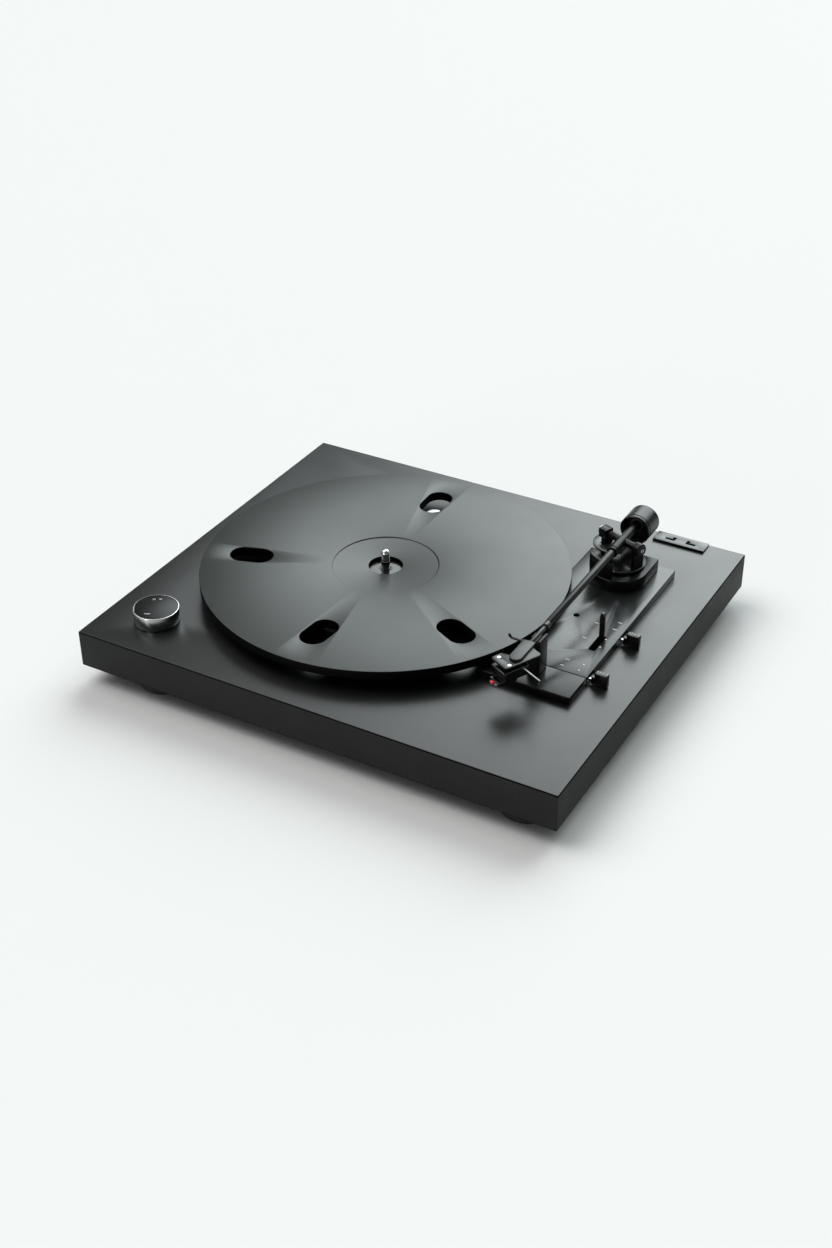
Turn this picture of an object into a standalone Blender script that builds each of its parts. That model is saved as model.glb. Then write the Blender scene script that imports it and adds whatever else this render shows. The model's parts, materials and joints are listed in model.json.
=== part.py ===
"""Automatic belt-drive record player: plinth, platter drive, control plate, tonearm and its mechanism.

Run with: blender --background --python part.py
Blender's units are metres. Sizes below are in millimetres and are turned into metres by MM.
The origin is at the middle of the footprint, on the surface that the feet stand on.
+X is to the right, +Y to the rear and +Z up.
"""
import math

import bmesh
import bpy
from mathutils import Matrix, Vector

MM = 0.001
GAP = 0.3                      # clearance that neighbouring solids keep

# Plinth and feet
PLINTH_W = 420.0
PLINTH_D = 365.0
PLINTH_H = 32.0
FOOT_H = 15.0
DECK_Z = FOOT_H + PLINTH_H     # top face of the plinth
WALL = 16.0
DECK_T = 6.0
CEILING_Z = DECK_Z - DECK_T    # underside of the deck
COVER_T = 3.0
COVER_INSET = 6.0
FLOOR_Z = FOOT_H + COVER_T + GAP
FOOT_R = 23.0
FOOT_Y = PLINTH_D / 2 - 33.0
FOOT_LEFT_X = -152.0
FOOT_RIGHT_X = 172.0

# Platter and its drive
SPINDLE = (-33.0, -2.5)
SPINDLE_R = 3.6
SPINDLE_TOP = DECK_Z + 32.0
PLATTER_R = 152.0
PLATTER_TOP = DECK_Z + 18.0
PLATTER_T = 8.0
PLATTER_BOTTOM = PLATTER_TOP - PLATTER_T
PLATTER_BORE_R = 14.0
LABEL_R = 43.5
LABEL_DEPTH = 0.8
SLOT_LONG = 36.4
SLOT_WIDE = 22.0
# Each slot: direction from the spindle, distance from it, and the turn of its long axis
PLATTER_SLOTS = ((97.0, 110.0, 92.5), (201.3, 112.0, 18.0), (272.6, 110.0, 85.0), (329.0, 112.8, 153.5))
RING_R = 88.0
RING_T = 4.0
RING_BOTTOM = DECK_Z + 3.0
RING_TOP = PLATTER_BOTTOM - GAP
PULLEY_R = 6.0
MOTOR_DISTANCE = 106.0
MOTOR_ANGLE = 97.0
BELT_T = 0.7
BELT_LOW = DECK_Z + 4.2
BELT_HIGH = DECK_Z + 8.2
TOOTH_MODULE = 1.5
PINION_TEETH = 10
GEAR_TEETH = 46
GEAR_GAP_TEETH = 7             # teeth left out, so that the gear stands free of the pinion at rest
GEAR_LOW = DECK_Z + 3.6
GEAR_HIGH = DECK_Z + 5.8
GEAR_POST_R = 3.0

# Control plate beside the platter
PLATE_X = (96.0, 171.5)
PLATE_Y = (-83.5, 120.2)
PLATE_SEAM_Y = -54.0
PLATE_TOP = DECK_Z + 7.0
PLATE_LOW = DECK_Z + GAP

# Tonearm: the swing axis is vertical, the tilt axis lies across it, turned by TILT_TURN
PIVOT = (134.0, 93.5)
ARM_Z = DECK_Z + 38.5
TILT_TURN = -20.5
TUBE_R_REAR = 3.3
TUBE_R_FRONT = 2.9
TUBE_FRONT = 144.3             # from the pivot, forwards
SLEEVE_FRONT = 21.5
SLEEVE_R = 4.7
STUB_R = 3.9
BASE_TOP = DECK_Z + 17.5
YOKE_FLOOR = BASE_TOP + GAP
YOKE_R = 20.0
LIFT_R = 26.0
LIFT_T = 3.0
LIFT_TOP = DECK_Z + 31.6
HEAD_TURN = 26.5               # the cartridge is turned inwards from the tube's line
HEAD_CENTRE = (127.0, -104.0)  # between the two cartridge screws
HEAD_TOP = DECK_Z + 36.4
NECK_TOP = DECK_Z + 38.5
STYLUS_Z = DECK_Z + 18.5
WEIGHT_R = 13.0
WEIGHT_FRONT = 24.5            # from the pivot, backwards
WEIGHT_REAR = 47.5
WEIGHT_DROP = 3.2              # the weight hangs lower than the stub

# Cue lever
LEVER_X = 159.4
LEVER_Y = 0.5
LEVER_PIVOT_Z = DECK_Z - 13.0
LEVER_TOP = DECK_Z + 30.0
LEVER_TAIL = 8.0

# Selector sliders on the plate's right side, and their travel
SLIDER_Z = DECK_Z + 4.0
SIZE_SLIDER_Y = 9.5
SIZE_TRAVEL = 10.4
START_SLIDER_Y = -50.0
START_TRAVEL = 8.6

# Speed knob
KNOB = (-165.2, -138.3)
KNOB_R = 18.5
KNOB_TOP = DECK_Z + 12.0

ROUND = 32                     # segments of an ordinary round
FINE = 72                      # segments of a large round

COLOURS = {
    # colour, roughness, metallic
    "plinth_black": ((0.030, 0.032, 0.034), 0.42, 0.0),
    "cover_black": ((0.040, 0.040, 0.040), 0.60, 0.0),
    "rubber_black": ((0.018, 0.018, 0.018), 0.75, 0.0),
    "platter_grey": ((0.115, 0.125, 0.122), 0.38, 0.7),
    "plate_grey": ((0.090, 0.098, 0.096), 0.36, 0.6),
    "block_black": ((0.020, 0.020, 0.022), 0.30, 0.0),
    "plastic_black": ((0.022, 0.022, 0.023), 0.45, 0.0),
    "arm_black": ((0.050, 0.054, 0.054), 0.34, 0.5),
    "chrome": ((0.80, 0.80, 0.80), 0.10, 1.0),
    "brushed": ((0.55, 0.55, 0.55), 0.25, 1.0),
    "steel": ((0.45, 0.45, 0.46), 0.35, 1.0),
    "bronze": ((0.50, 0.34, 0.16), 0.40, 1.0),
    "belt_rubber": ((0.025, 0.025, 0.025), 0.65, 0.0),
    "gear_white": ((0.75, 0.74, 0.70), 0.50, 0.0),
    "board_green": ((0.04, 0.18, 0.08), 0.50, 0.0),
    "stylus_red": ((0.55, 0.03, 0.03), 0.30, 0.0),
}


def clear_scene():
    """Remove everything that is in the scene."""
    for old in list(bpy.data.objects):
        bpy.data.objects.remove(old)


def collection(name):
    """Make a collection in the scene."""
    made = bpy.data.collections.new(name)
    bpy.context.scene.collection.children.link(made)
    return made


def material(name):
    """Give the Principled material of that name, making it the first time."""
    known = bpy.data.materials.get(name)
    if known:
        return known
    colour, roughness, metallic = COLOURS[name]
    made = bpy.data.materials.new(name)
    made.use_nodes = True
    shader = made.node_tree.nodes["Principled BSDF"]
    shader.inputs["Base Color"].default_value = (*colour, 1.0)
    shader.inputs["Roughness"].default_value = roughness
    shader.inputs["Metallic"].default_value = metallic
    return made


clear_scene()
PARTS = collection("record_player")
CUTTERS = collection("cutters")


# ---------------------------------------------------------------- meshes, in millimetres

def direction(degrees):
    """A unit vector in the plane, at an angle from +X."""
    return Vector((math.cos(math.radians(degrees)), math.sin(math.radians(degrees)), 0.0))


def box(low, high):
    """A block between two corners."""
    made = bmesh.new()
    bmesh.ops.create_cube(made, size=1.0)
    low, high = Vector(low), Vector(high)
    bmesh.ops.scale(made, vec=high - low, verts=made.verts)
    bmesh.ops.translate(made, vec=(low + high) / 2, verts=made.verts)
    return made


def rod(start, end, radius, radius_end=None, segments=ROUND):
    """A round bar, or a cone, from one point to another."""
    start, end = Vector(start), Vector(end)
    made = bmesh.new()
    bmesh.ops.create_cone(made, cap_ends=True, segments=segments, radius1=radius,
                          radius2=radius if radius_end is None else radius_end,
                          depth=(end - start).length)
    turn = Vector((0, 0, 1)).rotation_difference(end - start).to_matrix()
    bmesh.ops.rotate(made, cent=(0, 0, 0), matrix=turn, verts=made.verts)
    bmesh.ops.translate(made, vec=(start + end) / 2, verts=made.verts)
    return made


def disc(centre, radius, low, high, segments=ROUND):
    """A round plate or post standing on a point of the plan."""
    return rod((*centre, low), (*centre, high), radius, segments=segments)


def moved(made, place=(0, 0, 0), turn=0.0):
    """Turn a mesh about the vertical, then move it."""
    bmesh.ops.rotate(made, cent=(0, 0, 0), matrix=Matrix.Rotation(math.radians(turn), 3, "Z"),
                     verts=made.verts)
    bmesh.ops.translate(made, vec=place, verts=made.verts)
    return made


def arc(centre, radius, start, end, steps):
    """Points along a circular arc, with its angles in degrees."""
    cx, cy = centre
    angles = [math.radians(start + (end - start) * i / steps) for i in range(steps + 1)]
    return [(cx + radius * math.cos(a), cy + radius * math.sin(a)) for a in angles]


def curve_mesh(curve):
    """The closed mesh of a curve that has its caps. The curve is used up."""
    guide = bpy.data.objects.new("guide", curve)
    CUTTERS.objects.link(guide)
    bpy.context.view_layer.update()
    evaluated = guide.evaluated_get(bpy.context.evaluated_depsgraph_get())
    mesh = bpy.data.meshes.new_from_object(evaluated)
    made = bmesh.new()
    made.from_mesh(mesh)
    bpy.data.objects.remove(guide)
    bpy.data.curves.remove(curve)
    bpy.data.meshes.remove(mesh)
    bmesh.ops.remove_doubles(made, verts=made.verts, dist=1e-4)
    bmesh.ops.recalc_face_normals(made, faces=made.faces)
    return made


def outline(loops, low, high):
    """A flat shape of one or more closed loops, extruded between two heights."""
    curve = bpy.data.curves.new("outline", "CURVE")
    curve.dimensions = "2D"
    curve.fill_mode = "BOTH"
    curve.extrude = (high - low) / 2
    for points in loops:
        spline = curve.splines.new("POLY")
        spline.points.add(len(points) - 1)
        for place, (x, y) in zip(spline.points, points):
            place.co = (x, y, 0.0, 1.0)
        spline.use_cyclic_u = True
    made = curve_mesh(curve)
    bmesh.ops.translate(made, vec=(0, 0, (low + high) / 2), verts=made.verts)
    return made


def stadium(long, wide, steps=12):
    """The outline of a slot with round ends, along X."""
    half = (long - wide) / 2
    right = arc((half, 0.0), wide / 2, -90, 90, steps)
    left = arc((-half, 0.0), wide / 2, 90, 270, steps)
    return right + left


def gear_outline(centre, teeth, gap_teeth=0, gap_angle=0.0):
    """A spur gear's outline with straight flanks; a few teeth may be left out around an angle."""
    pitch_r = TOOTH_MODULE * teeth / 2
    tip_r = pitch_r + 0.85 * TOOTH_MODULE
    root_r = pitch_r - 1.2 * TOOTH_MODULE
    step = 360.0 / teeth
    points = []
    for i in range(gap_teeth, teeth):
        middle = gap_angle + (i - (gap_teeth - 1) / 2) * step
        for radius, share in ((root_r, -0.30), (tip_r, -0.09), (tip_r, 0.09), (root_r, 0.30)):
            way = direction(middle + share * step)
            points.append((centre[0] + radius * way.x, centre[1] + radius * way.y))
    if gap_teeth:
        half_gap = gap_teeth * step / 2
        points += arc(centre, root_r, gap_angle - half_gap, gap_angle + half_gap, gap_teeth)
    return points


# ---------------------------------------------------------------- objects

def tool(name, made):
    """A hidden mesh that cuts or joins another; its place is in its mesh."""
    mesh = bpy.data.meshes.new(name)
    bmesh.ops.scale(made, vec=(MM, MM, MM), verts=made.verts)
    made.to_mesh(mesh)
    made.free()
    item = bpy.data.objects.new(name, mesh)
    item.hide_render = True
    item.display_type = "WIRE"
    CUTTERS.objects.link(item)
    return item


def joint(name, place, parent=None):
    """An empty on a joint's axis; the pieces that move with it are its children."""
    empty = bpy.data.objects.new(name, None)
    empty.empty_display_size = 0.01
    empty.location = Vector(place) * MM
    if parent:
        empty.parent = parent
        empty.location -= world_place(parent)
    PARTS.objects.link(empty)
    return empty


def world_place(item):
    """Where an unturned empty is in the world."""
    place = item.location.copy()
    while item.parent:
        item = item.parent
        place += item.location
    return place


def piece(name, made, finish, at=None, place=None):
    """Make a sub-part from a mesh in millimetres, on its joint's empty or at its own place."""
    origin = world_place(at) if at else Vector(place or (0, 0, 0)) * MM
    bmesh.ops.scale(made, vec=(MM, MM, MM), verts=made.verts)
    bmesh.ops.translate(made, vec=-origin, verts=made.verts)
    mesh = bpy.data.meshes.new(name)
    made.to_mesh(mesh)
    made.free()
    mesh.materials.append(material(finish))
    mesh.shade_smooth()
    mesh.set_sharp_from_angle(angle=math.radians(35))
    item = bpy.data.objects.new(name, mesh)
    PARTS.objects.link(item)
    if at:
        item.parent = at
    else:
        item.location = origin
    return item


def turned(name, profile, centre, finish, at=None, segments=ROUND):
    """A turned sub-part: its profile of radius and height runs down the outer side."""
    mesh = bpy.data.meshes.new(name)
    origin = Vector((*centre, 0.0)) * MM
    base = world_place(at) if at else origin
    mesh.from_pydata([(r * MM, 0.0, z * MM - base.z) for r, z in profile],
                     [(i, i + 1) for i in range(len(profile) - 1)], [])
    mesh.materials.append(material(finish))
    item = bpy.data.objects.new(name, mesh)
    PARTS.objects.link(item)
    if at:
        item.parent = at
        item.location = (origin.x - base.x, origin.y - base.y, 0.0)
    else:
        item.location = origin
    screw = item.modifiers.new("turn", "SCREW")
    screw.steps = segments
    screw.render_steps = segments
    screw.use_merge_vertices = True
    screw.merge_threshold = 0.00001
    screw.use_smooth_shade = True
    return item


def bevel(item, width, segments=2):
    """Round an object's sharp edges."""
    rounding = item.modifiers.new("bevel", "BEVEL")
    rounding.width = width * MM
    rounding.segments = segments
    rounding.limit_method = "ANGLE"
    rounding.angle_limit = math.radians(40)
    return item


def cut(item, *meshes):
    """Cut meshes, given in millimetres, out of an object."""
    for made in meshes:
        change = item.modifiers.new("cut", "BOOLEAN")
        change.operation = "DIFFERENCE"
        change.object = tool(item.name + "_cutter", made)
    return item


def add(item, *meshes):
    """Join meshes, given in millimetres, to an object."""
    for made in meshes:
        change = item.modifiers.new("join", "BOOLEAN")
        change.operation = "UNION"
        change.object = tool(item.name + "_member", made)
    return item


# ---------------------------------------------------------------- plinth

def plinth_parts():
    """The plinth's shell, its bottom cover and its feet."""
    half_w, half_d = PLINTH_W / 2, PLINTH_D / 2
    shell = piece("plinth", box((-half_w, -half_d, FOOT_H), (half_w, half_d, DECK_Z)), "plinth_black")
    bevel(shell, 0.6, 1)
    rebate = COVER_INSET - GAP
    cut(shell,
        box((-half_w + rebate, -half_d + rebate, FOOT_H - 5), (half_w - rebate, half_d - rebate, FLOOR_Z)),
        box((-half_w + WALL, -half_d + WALL, FLOOR_Z - 1), (half_w - WALL, half_d - WALL, CEILING_Z)),
        disc(SPINDLE, 11.3, CEILING_Z - 5, DECK_Z + 5),
        disc(motor_place(), 8.0, CEILING_Z - 5, DECK_Z + 5, 32),
        disc(KNOB, 3.6, CEILING_Z - 5, DECK_Z + 5, 24),
        box((112, -24, CEILING_Z - 5), (167, 112, DECK_Z + 5)),
        box((-150, half_d - WALL - 5, FOOT_H + 6), (-60, half_d + 5, CEILING_Z - 1)))
    cover = piece("bottom_cover", box((-half_w + COVER_INSET, -half_d + COVER_INSET, FOOT_H),
                                      (half_w - COVER_INSET, half_d - COVER_INSET, FOOT_H + COVER_T)),
                  "cover_black")
    cut(cover, disc(SPINDLE, 12.0, FOOT_H - 5, FOOT_H + 8, 32))
    for side, x in (("left", FOOT_LEFT_X), ("right", FOOT_RIGHT_X)):
        for end, y in (("front", -FOOT_Y), ("rear", FOOT_Y)):
            top = FOOT_H - GAP
            profile = [(0, top), (FOOT_R, top), (FOOT_R, 3.0), (FOOT_R - 1.5, 0.8), (FOOT_R - 3.0, 0.0), (0, 0)]
            turned(f"foot_{end}_{side}", profile, (x, y), "rubber_black")


def cover_hinge_plate():
    """The small raised plate with two L-shaped slots at the rear right."""
    x0, x1, y0, y1 = 132.0, 178.0, 167.0, 181.2
    low, high = DECK_Z + GAP, DECK_Z + 1.8
    plate = piece("hinge_socket_plate", box((x0, y0, low), (x1, y1, high)), "plate_grey")
    stroke = 2.4
    for corner_x, way in ((x0 + 9.5, 1), (x1 - 9.5, -1)):
        long_edge = sorted((corner_x, corner_x + way * 8.5))
        short_edge = sorted((corner_x + way * 8.5, corner_x + way * (8.5 - stroke)))
        mid = (y0 + y1) / 2
        cut(plate,
            box((long_edge[0], mid - 2.6, low - 2), (long_edge[1], mid - 2.6 + stroke, high + 2)),
            box((short_edge[0], mid - 2.6, low - 2), (short_edge[1], mid + 3.0, high + 2)))


def rear_connections():
    """The panel behind the rear window, its sockets, and the circuit board."""
    inner = PLINTH_D / 2 - WALL
    middle_z = (FOOT_H + 6 + CEILING_Z - 1) / 2
    panel = piece("rear_panel", box((-156, inner - 2.6, FLOOR_Z + 1), (-54, inner - GAP, CEILING_Z - GAP)),
                  "plastic_black")
    socket_y = inner + GAP
    for name, x in (("phono_socket_left", -92.0), ("phono_socket_right", -76.0)):
        sleeve = piece(name, rod((x, inner - 8, middle_z), (x, socket_y + 9, middle_z), 4.1, segments=24),
                       "steel")
        add(sleeve, rod((x, socket_y, middle_z), (x, socket_y + 1.5, middle_z), 6.0, segments=24))
        cut(sleeve, rod((x, socket_y + 2, middle_z), (x, socket_y + 12, middle_z), 1.7, segments=16))
        cut(panel, rod((x, inner - 5, middle_z), (x, inner + 5, middle_z), 4.4, segments=24))
    dc_x = -136.0
    inlet = piece("dc_socket", box((dc_x - 5, inner - 9, middle_z - 5), (dc_x + 5, socket_y + 1, middle_z + 5)),
                  "plastic_black")
    cut(inlet, rod((dc_x, inner - 6, middle_z), (dc_x, inner + 6, middle_z), 3.3, segments=24))
    cut(panel, box((dc_x - 5.3, inner - 5, middle_z - 5.3), (dc_x + 5.3, inner + 5, middle_z + 5.3)))
    earth_x = -112.0
    earth = piece("ground_terminal", rod((earth_x, inner - 6, middle_z), (earth_x, socket_y + 8, middle_z),
                                         2.0, segments=24), "brushed")
    add(earth, rod((earth_x, socket_y + 2, middle_z), (earth_x, socket_y + 8, middle_z), 4.0, segments=24))
    cut(panel, rod((earth_x, inner - 5, middle_z), (earth_x, inner + 5, middle_z), 2.3, segments=24))
    board_z = FLOOR_Z + 2.5
    piece("circuit_board", box((-158, 88, board_z), (-72, 152, board_z + 1.6)), "board_green")


# ---------------------------------------------------------------- platter drive

def motor_place():
    """The motor's axis in the plan."""
    way = direction(MOTOR_ANGLE) * MOTOR_DISTANCE
    return (SPINDLE[0] + way.x, SPINDLE[1] + way.y)


def gear_place():
    """The cycle gear's axis in the plan, to the right of the spindle."""
    return (SPINDLE[0] + TOOTH_MODULE * (PINION_TEETH + GEAR_TEETH) / 2 + 0.15, SPINDLE[1])


def platter_parts():
    """The platter, the ring that the belt drives, the hub with its pinion, and the spindle."""
    axis = joint("platter_axis", (*SPINDLE, DECK_Z))
    platter = piece("platter", disc(SPINDLE, PLATTER_R, PLATTER_BOTTOM, PLATTER_TOP, FINE), "platter_grey", axis)
    bevel(platter, 0.5, 1)
    cut(platter,
        disc(SPINDLE, LABEL_R, PLATTER_TOP - LABEL_DEPTH, PLATTER_TOP + 5, FINE),
        disc(SPINDLE, PLATTER_BORE_R, PLATTER_BOTTOM - 5, PLATTER_TOP + 5))
    for angle, distance, turn in PLATTER_SLOTS:
        way = direction(angle) * distance
        slot = outline([stadium(SLOT_LONG, SLOT_WIDE)], PLATTER_BOTTOM - 5, PLATTER_TOP + 5)
        cut(platter, moved(slot, (SPINDLE[0] + way.x, SPINDLE[1] + way.y, 0.0), turn))
    ring = piece("drive_ring", disc(SPINDLE, RING_R, RING_BOTTOM, RING_TOP, FINE), "plastic_black", axis)
    cut(ring, disc(SPINDLE, RING_R - RING_T, RING_BOTTOM - 5, RING_TOP + 5, FINE))
    hub = piece("platter_hub", disc(SPINDLE, 30.0, DECK_Z + 6.4, PLATTER_BOTTOM - GAP), "plastic_black", axis)
    pinion = gear_outline(SPINDLE, PINION_TEETH)
    add(hub,
        outline([pinion], DECK_Z + 3.4, DECK_Z + 6.5),
        disc(SPINDLE, PLATTER_BORE_R - GAP, PLATTER_BOTTOM - 1, PLATTER_TOP - 4.5))
    cut(hub, disc(SPINDLE, SPINDLE_R + GAP, DECK_Z, PLATTER_TOP + 5, 32))
    r = SPINDLE_R
    tip = [(r * math.sin(math.radians(a)), SPINDLE_TOP - r + r * math.cos(math.radians(a)))
           for a in (0, 22.5, 45, 67.5, 90)]
    turned("spindle", tip + [(r, FLOOR_Z + 5), (0, FLOOR_Z + 5)], SPINDLE, "chrome", axis, 32)


def bearing_parts():
    """The main bearing's cup in the deck and the post that carries the cycle gear."""
    low = FLOOR_Z + 2
    flange_top = DECK_Z + 2.3
    profile = [(SPINDLE_R + GAP, flange_top), (20, flange_top), (20, DECK_Z + GAP), (11, DECK_Z + GAP),
               (11, low), (0, low)]
    bore = [(0, low + 2.5), (SPINDLE_R + GAP, low + 2.5), (SPINDLE_R + GAP, flange_top)]
    turned("bearing_housing", profile + bore, SPINDLE, "brushed", segments=32)
    post = [(0, GEAR_HIGH), (GEAR_POST_R, GEAR_HIGH), (GEAR_POST_R, GEAR_LOW - GAP), (6, GEAR_LOW - GAP),
            (6, DECK_Z + GAP), (0, DECK_Z + GAP)]
    turned("gear_post", post, gear_place(), "steel", segments=32)


def cycle_gear():
    """The gear of the automatic cycle, at rest with its toothless stretch facing the hub's pinion."""
    place = gear_place()
    teeth = gear_outline((0.0, 0.0), GEAR_TEETH, GEAR_GAP_TEETH, 180.0)
    bore = arc((0.0, 0.0), GEAR_POST_R + GAP, 360, 0, 24)[:-1]
    made = outline([teeth, bore], GEAR_LOW, GEAR_HIGH)
    piece("cycle_gear", moved(made, (*place, 0.0)), "gear_white", place=(*place, GEAR_LOW))


def motor_parts():
    """The motor under the deck, its mounting plate, its pulley and the belt."""
    place = motor_place()
    motor = piece("motor", disc(place, 17.5, FLOOR_Z + 2, CEILING_Z - 2.6), "steel")
    cut(motor, disc(place, 1.6, CEILING_Z - 10, CEILING_Z + 2, 24))
    plate = piece("motor_plate", box((place[0] - 23, place[1] - 23, CEILING_Z - 2.2),
                                     (place[0] + 23, place[1] + 23, CEILING_Z - GAP)), "steel")
    cut(plate, disc(place, 7.0, CEILING_Z - 5, CEILING_Z + 5, 32))
    axis = joint("pulley_axis", (*place, DECK_Z))
    low, high = BELT_LOW - 0.8, BELT_HIGH + 0.6
    profile = [(0, high + 0.5), (1.0, high + 0.5), (1.0, high), (PULLEY_R + 0.9, high), (PULLEY_R, BELT_HIGH),
               (PULLEY_R, BELT_LOW), (PULLEY_R + 0.9, low), (1.3, low), (1.3, CEILING_Z - 8), (0, CEILING_Z - 8)]
    turned("motor_pulley", profile, place, "brushed", axis, 32)
    piece("drive_belt", outline([belt_loop(GAP + BELT_T), belt_loop(GAP)[::-1]], BELT_LOW + 0.4, BELT_HIGH - 0.4),
          "belt_rubber")


def belt_loop(offset):
    """The belt's path around the drive ring and the pulley, at a distance from both."""
    big, small = RING_R + offset, PULLEY_R + offset
    spread = math.degrees(math.acos((big - small) / MOTOR_DISTANCE))
    around_ring = arc(SPINDLE, big, MOTOR_ANGLE + spread, MOTOR_ANGLE + 360 - spread, 72)
    around_pulley = arc(motor_place(), small, MOTOR_ANGLE - spread, MOTOR_ANGLE + spread, 12)
    return around_ring + around_pulley


# ---------------------------------------------------------------- knob and control plate

def speed_knob():
    """The turned speed knob with its inlaid cap, and the switch under the deck."""
    axis = joint("speed_knob_axis", (*KNOB, DECK_Z))
    low = DECK_Z + 0.4
    recess = KNOB_TOP - 1.3
    stem = CEILING_Z - 5.0
    profile = [(0, recess), (KNOB_R - 1.3, recess), (KNOB_R - 1.3, KNOB_TOP), (KNOB_R - 0.3, KNOB_TOP),
               (KNOB_R, KNOB_TOP - 0.3), (KNOB_R, low), (3.0, low), (3.0, stem), (0, stem)]
    turned("speed_knob_ring", profile, KNOB, "brushed", axis)
    piece("speed_knob_cap", disc(KNOB, KNOB_R - 1.6, recess + GAP, KNOB_TOP - 0.2), "plastic_black", axis)
    switch = piece("rotary_switch", box((KNOB[0] - 8, KNOB[1] - 8, CEILING_Z - 7),
                                        (KNOB[0] + 8, KNOB[1] + 8, CEILING_Z - GAP)), "plastic_black")
    cut(switch, disc(KNOB, 3.3, CEILING_Z - 12, CEILING_Z + 2, 24))


def control_plate():
    """The raised plate beside the platter, with the lever's slot and the openings for the sliders."""
    x0, x1 = PLATE_X
    plate = piece("tonearm_plate", box((x0, PLATE_SEAM_Y + GAP, PLATE_LOW), (x1, PLATE_Y[1], PLATE_TOP)),
                  "plate_grey")
    slot_front, slot_rear, slot_half = LEVER_Y - 19.5, LEVER_Y + 2.9, 2.9
    cut(plate,
        box((LEVER_X - slot_half, slot_front, DECK_Z - 5), (LEVER_X + slot_half, slot_rear, PLATE_TOP + 5)),
        disc(PIVOT, 7.0, DECK_Z - 5, PLATE_TOP + 5),
        disc((PIVOT[0], PIVOT[1] - LIFT_R), 2.5, DECK_Z - 5, PLATE_TOP + 5, 24),
        disc((128.8, 20.0), 2.5, DECK_Z - 5, PLATE_TOP + 5, 24))
    for y, travel in ((SIZE_SLIDER_Y, SIZE_TRAVEL), (START_SLIDER_Y, START_TRAVEL)):
        cut(plate, box((x1 - 8, y - 2.0, SLIDER_Z - 1.9), (x1 + 5, y + travel + 2.0, SLIDER_Z + 1.9)))
    block = piece("plate_end_block", box((x0, PLATE_Y[0], PLATE_LOW), (x1, PLATE_SEAM_Y - GAP, PLATE_TOP)),
                  "block_black")
    bevel(block, 0.4, 1)
    piece("set_down_screw", disc((128.8, 20.0), 2.1, DECK_Z - 3, PLATE_TOP - 2.5, 24), "steel")


def slider(name, y, travel_axis):
    """A selector: a black block on a bright pin that slides along the plate's side."""
    axis = joint(travel_axis, (PLATE_X[1], y, SLIDER_Z))
    knob_left = PLATE_X[1] + 5.7
    knob = piece(name + "_knob", box((knob_left, y - 2.5, DECK_Z + 0.6),
                                     (knob_left + 10.4, y + 2.5, DECK_Z + 12.3)), "plastic_black", axis)
    bevel(knob, 0.6, 1)
    piece(name + "_pin", rod((PLATE_X[1] - 6.5, y, SLIDER_Z), (knob_left - GAP, y, SLIDER_Z), 1.5, segments=24),
          "chrome", axis)


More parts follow.
